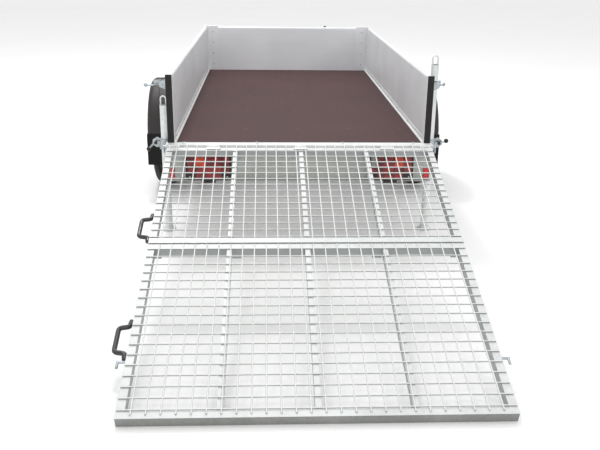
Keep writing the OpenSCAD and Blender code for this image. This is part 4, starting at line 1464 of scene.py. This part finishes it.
@dataclass
class TailLamps(Assembly):
    """Multi-function tail lamps and reflectors."""

    finishes = {
        ABS: ("left_tail_lamp", "right_tail_lamp"),
        REFLECTOR: ("rear_reflectors",),
    }

    lens_r: float = 14 * MM
    inset: float = 9 * MM
    rise: float = 5 * MM
    frame_w: float = 29 * MM

    def build(self) -> None:
        """Builds the lenses, their divisions and screws, and the reflectors' frames."""
        lenses = {colour: Workpiece(f"{colour}_lenses") for colour in ("red", "amber", "clear")}
        rims = Workpiece("lens_rims")
        screws = Workpiece("lens_screws")
        for side in Side:
            self.lamp(side, lenses, rims, screws)
        lenses["red"].fit(RED_LENS, "chassis", 2 * MM, 50, ("lamp_lenses",))
        lenses["amber"].fit(AMBER_LENS, "chassis", 2 * MM, 50)
        lenses["clear"].fit(CLEAR_LENS, "chassis", 2 * MM, 50)
        rims.fit(ABS, "chassis", 0.8 * MM)
        screws.fit(ZINC, "chassis")
        self.reflector_frames()

    def lamp(self, side: Side, lenses: dict[str, Workpiece], rims: Workpiece,
             screws: Workpiece) -> None:
        """Builds one lamp's lens panes.

        Args:
            side: The side that it is on.
            lenses: The workpieces of the three lens colours.
            rims: The workpiece of the black divisions.
            screws: The workpiece of the screws.
        """
        low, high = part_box(f"{side.label}_tail_lamp")
        left, right = low.x + self.inset, high.x - self.inset
        foot, top = low.z + 16 * MM + self.inset, high.z - self.inset
        face = low.y
        span, tall = right - left, top - foot
        middle = foot + tall * 0.55

        def pane(colour: str, x0: float, x1: float, z0: float, z1: float) -> None:
            """Adds one pane, given as shares of the lens from its outer end and its foot."""
            outer = left if side is Side.LEFT else right
            xs = sorted((outer - side.value * span * x0, outer - side.value * span * x1))
            zs = (foot + tall * z0, foot + tall * z1)
            outline = rounded_rectangle((xs[0] + 1 * MM, zs[0] + 1 * MM),
                                        (xs[1] - 1 * MM, zs[1] - 1 * MM), self.lens_r * 0.5)
            place = Matrix(((1, 0, 0, 0), (0, 0, -1, face + 1 * MM), (0, 1, 0, 0), (0, 0, 0, 1)))
            lenses[colour].prism(outline, self.rise, place)

        pane("red", 0.0, 0.2, 0.22, 1.0)
        pane("amber", 0.2, 0.42, 0.5, 1.0)
        pane("red", 0.2, 0.42, 0.0, 0.5)
        pane("red", 0.42, 0.82, 0.0, 1.0)
        pane("clear" if side is Side.RIGHT else "red", 0.82, 1.0, 0.5, 1.0)
        pane("red", 0.82, 1.0, 0.22, 0.5)
        for x in (left + 12 * MM, right - 12 * MM):
            screws.rivet(Vector((x, face + 0.5 * MM, foot + 8 * MM)), -Axis.Y.value, 5 * MM)
        outline = rounded_rectangle((left - 6 * MM, foot - 5 * MM), (right + 6 * MM, top + 6 * MM),
                                    self.lens_r, 6)
        ring = [Vector((x, face - 0.5 * MM, z)) for x, z in outline]
        rims.tube(ring, 2.6 * MM, 8, True)
        rims.slab((left, face - 2.5 * MM, middle - 1.2 * MM),
                  (right, face + 1 * MM, middle + 1.2 * MM))

    def reflector_frames(self) -> None:
        """Frames each reflector with a narrow moulding."""
        low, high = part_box("rear_reflectors")
        work = Workpiece("reflector_frames")
        for side in Side:
            outer = side.value * max(abs(low.x), abs(high.x))
            xs = sorted((outer, outer - side.value * self.frame_w))
            ring = [Vector((x, low.y + 1 * MM, z)) for x, z in
                    rounded_rectangle((xs[0], low.z), (xs[1], high.z), 3 * MM, 3)]
            work.tube(ring, 1.6 * MM, 6, True)
        work.fit(RED_LENS, "chassis")


@dataclass
class PropLegs(Assembly):
    """Prop legs with their clamps."""

    finishes = {
        LEG_ZINC: ("left_leg", "right_leg"),
        ZINC: ("left_leg_clamp", "right_leg_clamp"),
    }

    bore_r: float = 17 * MM
    hoop_h: float = 50 * MM
    rim_r: float = 2.2 * MM
    knob_r: float = 12.6 * MM

    def build(self) -> None:
        """Builds rings, plates, pivots and knobs."""
        for side in Side:
            self.rings(side)
            self.clamp_parts(side)

    def rings(self, side: Side) -> None:
        """Adds a black disc at a leg's top, painted shade for the inside of its open tube, and the
        rolled rim of its foot.

        Args:
            side: The side that it is on.
        """
        low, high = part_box(f"{side.label}_leg")
        axis = Vector(((low.x + high.x) / 2, (low.y + high.y) / 2, 0))
        # Painted shade: a black disc where the tube is open.
        work = Workpiece(f"{side.label}_leg_bore")
        work.turned([(0, self.bore_r), (0.5 * MM, self.bore_r)],
                    axis + Vector((0, 0, high.z - self.hoop_h)), Axis.Z.value, 32)
        work.fit(ABS, f"{side.label}_leg")
        rim = Workpiece(f"{side.label}_foot_rim")
        foot_r = (high.x - low.x) / 2
        rim.tube(arc(axis + Vector((0, 0, 4.6 * MM)), foot_r - self.rim_r, 0, 360, Axis.X.value,
                     Axis.Y.value, 48)[:-1], self.rim_r, 8, True)
        rim.fit(ZINC, f"{side.label}_leg")

    def clamp_parts(self, side: Side) -> None:
        """Adds the clamp's bolts, pivot plate and black knob.

        Args:
            side: The side that it is on.
        """
        low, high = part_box(f"{side.label}_leg_clamp")
        leg_low, leg_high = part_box(f"{side.label}_leg")
        leg_x = (leg_low.x + leg_high.x) / 2
        leg_y = (leg_low.y + leg_high.y) / 2
        work = Workpiece(f"{side.label}_clamp_plate")
        start = leg_x + side.value * 27 * MM
        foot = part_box("right_side_rail")[0].z + 25 * MM
        outline = [(0, 8 * MM), (20 * MM, 4 * MM), (44 * MM, 20 * MM), (40 * MM, 46 * MM),
                   (16 * MM, 62 * MM), (0, 52 * MM)]
        place = Matrix(((side.value, 0, 0, start), (0, 0, -1, leg_y + 12 * MM), (0, 1, 0, foot),
                        (0, 0, 0, 1)))
        work.prism(outline, 4 * MM, place)
        for height in (16 * MM, 42 * MM):
            work.hex_bolt(Vector((leg_x - side.value * 12 * MM, leg_y - 22 * MM, foot + height)),
                          -Axis.Y.value, 13 * MM, 6 * MM)
        work.fit(ZINC, "chassis", 1 * MM)
        knob = Workpiece(f"{side.label}_clamp_knob")
        knob_x = side.value * max(abs(low.x), abs(high.x)) - side.value * 12 * MM
        knob_z = foot + (44 * MM if side is Side.RIGHT else -4 * MM)
        profile = [(self.knob_r * -math.cos(t), max(self.knob_r * math.sin(t), 0.5 * MM))
                   for t in (math.pi * k / 14 for k in range(15))]
        knob.turned(profile, Vector((knob_x, leg_y, knob_z)), side.out, 24)
        knob.fit(ABS, "chassis")
        collar = Workpiece(f"{side.label}_clamp_pivot")
        collar.turned([(-8 * MM, 9 * MM), (8 * MM, 9 * MM)],
                      Vector((start + side.value * 22 * MM, leg_y - 4 * MM, foot + 32 * MM)),
                      Axis.Y.value, 20)
        collar.fit(ABS, "chassis", 1.2 * MM)


@dataclass
class RampLatches(Assembly):
    """Turn latches that hold the raised ramp to the boards, in place of the CAD ones."""

    plate_t: float = 4 * MM
    boss_r: float = 15 * MM
    rod_r: float = 4.5 * MM
    knob_r: float = 10 * MM
    reach: float = 106 * MM
    right_turn: float = 52.0

    def build(self) -> None:
        """Builds each latch; the right one is turned forward, as it was left."""
        self.latch(Side.LEFT, 0.0)
        self.latch(Side.RIGHT, self.right_turn)

    def latch(self, side: Side, turned: float) -> None:
        """Builds a latch: folded base plate, boss, bent rod, knob and thumb plate.

        Args:
            side: The side that it is on.
            turned: How far its rod is swung forward, in degrees.
        """
        low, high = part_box(f"{side.label}_ramp_latch")
        out = side.out
        seat = Vector((side.value * min(abs(low.x), abs(high.x)), (low.y + high.y) / 2,
                       low.z + 25 * MM))
        work = Workpiece(f"{side.label}_turn_latch")
        plate = [(-21 * MM, -27 * MM), (21 * MM, -27 * MM), (21 * MM, 8 * MM), (8 * MM, 33 * MM),
                 (-8 * MM, 33 * MM), (-21 * MM, 8 * MM)]
        wall = Matrix.Translation(seat) @ Matrix(((0, 0, side.value, 0), (1, 0, 0, 0),
                                                  (0, 1, 0, 0), (0, 0, 0, 1)))
        work.prism(plate, self.plate_t, wall)
        ear = [(0, -27 * MM), (34 * MM, -12 * MM), (38 * MM, 12 * MM), (20 * MM, 20 * MM),
               (0, 20 * MM)]
        for y in (-19 * MM, 15 * MM):
            work.prism(ear, 4 * MM, Matrix.Translation(seat + Vector((0, y, 0)))
                       @ Matrix(((side.value, 0, 0, 0), (0, 0, 1, 0), (0, 1, 0, 0), (0, 0, 0, 1))))
        pivot = seat + 26 * MM * out
        work.turned([(-22 * MM, 6 * MM), (-22 * MM, self.boss_r * 0.5), (22 * MM, self.boss_r * 0.5),
                     (22 * MM, 6 * MM)], pivot, Axis.Y.value, 24)
        spin = Matrix.Rotation(math.radians(side.value * turned), 3, "Z")
        along = spin @ out
        across = spin @ Axis.Y.value
        end = pivot + (self.reach - 26 * MM) * along
        work.tube(rounded([pivot, pivot + 30 * MM * along,
                           pivot + 42 * MM * along - 6 * MM * Axis.Z.value,
                           end - 6 * MM * Axis.Z.value], 8 * MM), self.rod_r, 14)
        knob = [(self.knob_r * -math.cos(t) * 0.75, max(self.knob_r * math.sin(t), 0.6 * MM))
                for t in (math.pi * k / 12 for k in range(13))]
        work.turned(knob, end - 6 * MM * Axis.Z.value, across, 20)
        thumb = [(0, -5 * MM), (38 * MM, -5 * MM), (42 * MM, 0), (38 * MM, 12 * MM), (0, 14 * MM)]
        turn = Matrix((along, Axis.Z.value, across)).transposed().to_4x4()
        work.prism(thumb, 5 * MM, Matrix.Translation(pivot + 8 * MM * Axis.Z.value) @ turn)
        coil = [pivot + (2 + 26 * t / 60) * MM * along
                + 8 * MM * (math.cos(t * math.pi / 6) * across
                            + math.sin(t * math.pi / 6) * Axis.Z.value) for t in range(61)]
        work.tube(coil, 1.3 * MM, 6)
        for y in (-15 * MM, 15 * MM):
            work.rivet(seat + Vector((side.value * self.plate_t, y, -22 * MM)), out, 3.6 * MM)
        work.rivet(seat + Vector((side.value * self.plate_t, 0, 25 * MM)), out, 3.6 * MM)
        work.fit(ZINC, "chassis", 0.6 * MM, 40, (f"{side.label}_ramp_latch",))


@dataclass
class JockeyWheel(Assembly):
    """Jockey wheel with its crank and clamp."""

    finishes = {
        BEAM_ZINC: ("jockey_stem",),
        CHASSIS_ZINC: ("jockey_clamp", "jockey_fork"),
        LEG_ZINC: ("jockey_inner_tube",),
        JOCKEY_RUBBER: ("jockey_wheel",),
    }

    grip_r: float = 11.4 * MM
    bar_out: float = 78 * MM
    bar_half: float = 42 * MM

    def build(self) -> None:
        """Builds the grip, the clamp's lever and the wheel's disc covers."""
        self.crank_grip()
        self.clamp_lever()
        self.wheel_trim()

    def crank_grip(self) -> None:
        """Turns the black grip of the crank."""
        low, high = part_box("jockey_stem")
        at = Vector((high.x - 6.5 * MM - 4.5 * MM, (low.y + high.y) / 2, high.z - 61 * MM))
        work = Workpiece("crank_grip")
        work.turned([(0, 9 * MM), (3 * MM, self.grip_r), (16 * MM, self.grip_r), (32 * MM, self.grip_r),
                     (50 * MM, self.grip_r), (56 * MM, 10.5 * MM), (60 * MM, 6 * MM),
                     (60.4 * MM, 2 * MM)], at, Axis.Z.value, 24)
        work.fit(ABS, "chassis")

    def clamp_lever(self) -> None:
        """Adds the T-bar that tightens the jockey wheel's clamp."""
        low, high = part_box("jockey_clamp")
        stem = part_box("jockey_inner_tube")
        x = (stem[0].x + stem[1].x) / 2
        y = (stem[0].y + stem[1].y) / 2
        z = (low.z + high.z) / 2
        work = Workpiece("jockey_clamp_screw")
        work.turned([(0, 10 * MM), (6 * MM, 10 * MM), (6 * MM, 6 * MM), (52 * MM, 6 * MM)],
                    Vector((x, y - 32 * MM, z)), -Axis.Y.value, 18)
        work.tube([Vector((x + end * self.bar_half, y - self.bar_out, z)) for end in (-1, 1)],
                  5 * MM, 12)
        work.fit(ZINC, "chassis", 0.8 * MM)

    def wheel_trim(self) -> None:
        """Caps the jockey wheel's axle and rings its rubber."""
        low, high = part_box("jockey_wheel")
        centre = (low + high) / 2
        half = (high.x - low.x) / 2
        discs = Workpiece("jockey_wheel_disc")
        for end in (-1, 1):
            discs.turned([(-14 * MM, 59 * MM), (-12 * MM, 60 * MM), (-10 * MM, 54 * MM),
                          (-12 * MM, 36 * MM), (-3 * MM, 31 * MM), (-1 * MM, 24 * MM)],
                         centre + Vector((end * half, 0, 0)), end * Axis.X.value, 36)
        discs.fit(WHEEL, "jockey_roller")
        nuts = Workpiece("jockey_axle_nuts")
        fork_low, fork_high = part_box("jockey_fork")
        for end, x in ((-1, fork_low.x), (1, fork_high.x)):
            nuts.hex_bolt(Vector((x, centre.y, centre.z)), end * Axis.X.value, 17 * MM, 7 * MM)
        nuts.fit(ZINC, "jockey_caster", 0.5 * MM)


@dataclass
class Ramp(Assembly):
    """The two-part mesh ramp: frames, welded wire mesh, hinges, handles and hooks."""

    finishes = {
        RAMP_ZINC: ("upper_ramp_frame", "lower_ramp_frame"),
        ZINC: ("ramp_hinge_pins", "fold_hinge_pins", "ramp_hooks"),
    }

    pin_up: float = 12.5 * MM
    pin_down: float = 9 * MM
    upper_l: float = 780 * MM
    fold_gap: float = 3 * MM
    lower_l: float = 920 * MM
    frame_h: float = 40 * MM
    rail_w: float = 30 * MM
    wire_r: float = 3.0 * MM
    wire_t: float = 5 * MM
    pitch: float = 50 * MM
    first_wire: float = 36 * MM
    fold_down: float = 53.5 * MM
    fold_rail_w: float = 32 * MM
    end_inset: float = 35 * MM
    hinge_x: float = 440 * MM
    fold_x: float = 300 * MM

    def __post_init__(self) -> None:
        """Finds the ramp's own frame from the two hinges: X right, Y up the slope, Z off it."""
        places = {joint["name"]: Vector(joint["pos_m"]) for joint in frame["joints"]
                  if joint["name"] in ("ramp_hinge", "ramp_fold")}
        span = places["ramp_hinge"] - places["ramp_fold"]
        along = self.pin_up + self.upper_l + self.fold_gap / 2
        rise = -self.pin_down + self.fold_down
        turn = math.atan2(span.z, span.y) - math.atan2(rise, along)
        spin = Matrix.Rotation(turn, 4, "X")
        hinge = Vector((0, self.pin_up, -self.pin_down))
        self.place = Matrix.Translation(places["ramp_hinge"] - spin @ hinge) @ spin
        self.hinge = places["ramp_hinge"]
        self.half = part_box("upper_ramp_frame")[1].x
        last = self.half - self.end_inset
        self.hinges = [-last, -self.hinge_x, 0, self.hinge_x, last]
        self.folds = [-last, -self.fold_x, self.fold_x, last]
        count = math.floor((2 * self.half - 80 * MM) / self.pitch + 1e-6)
        self.xs = [(k - count / 2) * self.pitch for k in range(count + 1)]

    def at(self, x: float, y: float, z: float) -> Vector:
        """Gives a point of the ramp's own frame in the trailer's frame."""
        return self.place @ Vector((x, y, z))

    def build(self) -> None:
        """Builds both sections' wires, the plates, the welds and the fittings."""
        self.mesh("upper", 0.0, self.upper_l, self.fold_rail_w + 2 * MM)
        self.mesh("lower", -self.upper_l - self.fold_gap, self.lower_l, 0.0)
        self.hinge_plates()
        self.frame_welds("upper", 0.0, self.upper_l)
        self.frame_welds("lower", -self.upper_l - self.fold_gap, self.lower_l)
        self.handles()
        self.fold_brackets()
        self.toe_screws()
        self.pin_rings()

    def mesh(self, label: str, top: float, length: float, stop: float) -> None:
        """Lays one section's wires: the long ones first and the cross wires pressed into them.

        Args:
            label: Which section.
            top: Upper end of the section.
            length: Its length.
            stop: How far above the section's foot the long wires end, or 0 for past the last wire.
        """
        count = math.floor((length - 2 * self.first_wire + 10 * MM) / self.pitch + 1e-6)
        ys = [top - self.first_wire - k * self.pitch for k in range(count + 1)]
        foot = top - length + stop
        work = Workpiece(f"{label}_wire_mesh")
        reach = 20 * MM if label == "upper" else -3 * MM
        for x in self.xs:
            near = any(abs(abs(x - h) - 23.5 * MM) < 8 * MM for h in self.hinges)
            start = top + (-3 * MM if near and label == "upper" else reach)
            end = foot if stop else ys[-1] - 20 * MM
            work.tube([self.at(x, start, -self.wire_t + 1.6 * MM),
                       self.at(x, end, -self.wire_t + 1.6 * MM)], self.wire_r, 10)
        for y in ys:
            if y - self.wire_r < foot:
                continue
            work.tube([self.at(-self.half + 2 * MM, y, -2.4 * MM),
                       self.at(self.half - 2 * MM, y, -2.4 * MM)], self.wire_r, 10)
        work.fit(WIRE_ZINC, f"{label}_ramp", 0, 60, (f"{label}_ramp_mesh",))

    def hinge_plates(self) -> None:
        """Welds a bright plate over each hinge between the outer two."""
        work = Workpiece("hinge_plates")
        for x in self.hinges[1:-1]:
            work.slab((x - 34 * MM, -22 * MM, -self.wire_t), (x + 34 * MM, 0.5 * MM, 0.8 * MM),
                      self.place)
            work.slab((x - 19 * MM, 0, -self.wire_t), (x + 19 * MM, 12 * MM, 2.4 * MM), self.place)
        work.fit(RAMP_ZINC, "upper_ramp", 1 * MM)

    def frame_welds(self, label: str, top: float, length: float) -> None:
        """Lays weld beads where the flat bars meet the end rails.

        Args:
            label: Which section.
            top: Upper end of the section.
            length: Its length.
        """
        step = (2 * self.half - self.rail_w) / 4
        work = Workpiece(f"{label}_ramp_welds")
        ends = (top - (22 * MM if label == "upper" else self.fold_rail_w),
                top - length + (self.fold_rail_w if label == "upper" else self.rail_w))
        for k in (-1, 0, 1):
            for y in ends:
                for edge in (-11 * MM, 11 * MM):
                    x = k * step + edge
                    work.bead([self.at(x, y, -7 * MM), self.at(x, y, -33 * MM)], 2.4 * MM)
        work.fit(RAMP_ZINC, f"{label}_ramp")

    def handles(self) -> None:
        """Bends the grab handles from tube, with feet that lie along the rail."""
        grip_r, foot_l = 9.5 * MM, 30 * MM
        inverse = self.place.inverted()
        for label in ("upper", "lower"):
            low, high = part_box(f"{label}_ramp_handle")
            corners = [inverse @ Vector((high.x, y, z)) for y in (low.y, high.y)
                       for z in (low.z, high.z)]
            top, foot = max(c.y for c in corners), min(c.y for c in corners)
            z = -self.wire_t - self.frame_h / 2
            seat, reach = -self.half - grip_r, low.x + grip_r
            path = [self.at(seat, top, z), self.at(seat, top - foot_l, z),
                    self.at(reach, top - foot_l - 8 * MM, z),
                    self.at(reach, foot + foot_l + 8 * MM, z),
                    self.at(seat, foot + foot_l, z), self.at(seat, foot, z)]
            work = Workpiece(f"{label}_grab_handle")
            work.tube(rounded(path, 14 * MM), grip_r, 16)
            for y in (top - 12 * MM, foot + 12 * MM):
                work.rivet(self.at(seat - grip_r + 0.5 * MM, y, z), -Axis.X.value, 5 * MM)
            work.fit(HANDLE_PAINT, f"{label}_ramp", 0, 40, (f"{label}_ramp_handle",))

    def fold_brackets(self) -> None:
        """Adds the small bolts beside the fold's hinges."""
        work = Workpiece("fold_brackets")
        for x in self.folds:
            for end in (-1, 1):
                work.hex_bolt(self.at(x + end * 12 * MM, -self.upper_l - self.fold_gap - 16 * MM,
                                      -self.wire_t - self.frame_h - 0.5 * MM),
                              self.place.to_3x3() @ -Axis.Z.value, 10 * MM, 4 * MM)
        work.fit(ZINC, "lower_ramp", 0.4 * MM)

    def toe_screws(self) -> None:
        """Sets a row of rivets along the toe rail, and lays painted shade on the toe's end face."""
        end = -self.upper_l - self.fold_gap - self.lower_l
        work = Workpiece("toe_rivets")
        y = end + self.rail_w / 2
        for x in self.xs[::2]:
            work.rivet(self.at(x, y, -self.wire_t), self.place.to_3x3() @ Axis.Z.value, 4 * MM)
        work.fit(RAMP_ZINC, "lower_ramp")
        # Painted shade: a thin darker sheet over the toe's end face.
        toe_shade = Workpiece("toe_painted_shade")
        toe_shade.slab((-self.half + 1 * MM, end - 0.3 * MM, -self.wire_t - self.frame_h + 1 * MM),
                   (self.half - 1 * MM, end + 0.5 * MM, -self.wire_t - 1.5 * MM), self.place)
        toe_shade.fit(TOE_SHADE_ZINC, "lower_ramp")

    def pin_rings(self) -> None:
        """Adds a collar at the outer end of each hinge pin."""
        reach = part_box("ramp_hinge_pins")[1].x - 6 * MM
        work = Workpiece("hinge_pin_collars")
        for side in Side:
            work.turned([(-3 * MM, 8.5 * MM), (3 * MM, 8.5 * MM)],
                        Vector((side.value * reach, self.hinge.y, self.hinge.z)), side.out, 20)
        work.fit(ZINC, "chassis", 0.8 * MM)


@dataclass
class Studio:
    """Floor, soft lights and camera."""

    lens: float = 45.958
    sensor: float = 36.0
    eye: tuple[float, float, float] = (-0.17194, -4.90028, 1.49928)
    pitch: float = 0.3477
    yaw: float = 0.0458
    roll: float = 0.0130
    floor_size: float = 60.0
    sky: float = 0.86

    def build(self) -> None:
        """Builds the floor, the lights, the sky and the camera."""
        self.floor()
        self.lights()
        self.camera()
        scene = bpy.context.scene
        scene.view_settings.view_transform = "Standard"
        scene.view_settings.look = "None"

    def floor(self) -> None:
        """Lays a pale floor that isn't part of the trailer."""
        half = self.floor_size / 2
        mesh = bpy.data.meshes.new("studio_floor")
        corners = [(-half, -half, 0), (half, -half, 0), (half, half, 0), (-half, half, 0)]
        mesh.from_pydata(corners, [], [(0, 1, 2, 3)])
        floor = bpy.data.objects.new("studio_floor", mesh)
        bpy.context.scene.collection.objects.link(floor)
        mesh.materials.append(FLOOR_PAINT.material())

    def lights(self) -> None:
        """Hangs a broad panel, a small key light and two faint fills, under an even sky."""
        for name, at, aim, size, power in (
            ("overhead_panel", (-0.6, 0.6, 6.5), (-0.6, 0.6, 0), (7.0, 9.0), 150.0),
            ("key_softbox", (-1.1, 1.4, 5.2), (0, -0.6, 0), (0.7, 0.7), 80.0),
            ("rear_fill", (0.6, -9.0, 2.6), (0, 0, 0.4), (7.0, 3.0), 120.0),
            ("underside_bounce", (0, -0.3, 0.43), (0, -0.3, 0), (1.0, 1.2), 1.7),
        ):
            light = bpy.data.lights.new(name, "AREA")
            light.shape = "RECTANGLE"
            light.size, light.size_y = size
            light.energy = power
            lamp = bpy.data.objects.new(name, light)
            lamp.location = at
            lamp.rotation_euler = (Vector(aim) - Vector(at)).to_track_quat("-Z", "Y").to_euler()
            lamp.visible_camera = False
            bpy.context.scene.collection.objects.link(lamp)
        world = bpy.data.worlds.new("even_sky")
        world.use_nodes = True
        back = world.node_tree.nodes["Background"]
        back.inputs["Color"].default_value = linear("#ffffff")
        back.inputs["Strength"].default_value = self.sky
        bpy.context.scene.world = world

    def camera(self) -> None:
        """Places the camera behind the trailer, a little to the left."""
        data = bpy.data.cameras.new("camera")
        data.lens = self.lens
        data.sensor_width = self.sensor
        data.clip_end = 200
        forward = Vector((math.sin(self.yaw) * math.cos(self.pitch),
                          math.cos(self.yaw) * math.cos(self.pitch), -math.sin(self.pitch)))
        right = Vector((math.cos(self.yaw), -math.sin(self.yaw), 0))
        up = right.cross(forward)
        tilted = math.cos(self.roll) * right + math.sin(self.roll) * up
        above = -math.sin(self.roll) * right + math.cos(self.roll) * up
        turn = Matrix((tilted, above, -forward)).transposed().to_4x4()
        camera = bpy.data.objects.new("camera", data)
        camera.matrix_world = Matrix.Translation(self.eye) @ turn
        bpy.context.scene.collection.objects.link(camera)
        bpy.context.scene.camera = camera


def main() -> None:
    """Builds every sub-assembly in order."""
    logging.basicConfig(level=logging.INFO, format="%(message)s")
    parts = [LoadBed(), Chassis(), Drawbar(), RunningGear(), Mudguards(), TailLamps(), PropLegs(),
             RampLatches(), JockeyWheel(), Ramp()]
    for part in parts:
        LOG.info("%s", type(part).__name__)
        part.dress()
        part.build()
    Studio().build()
    bpy.context.view_layer.update()


if __name__ == "__main__":
    main()
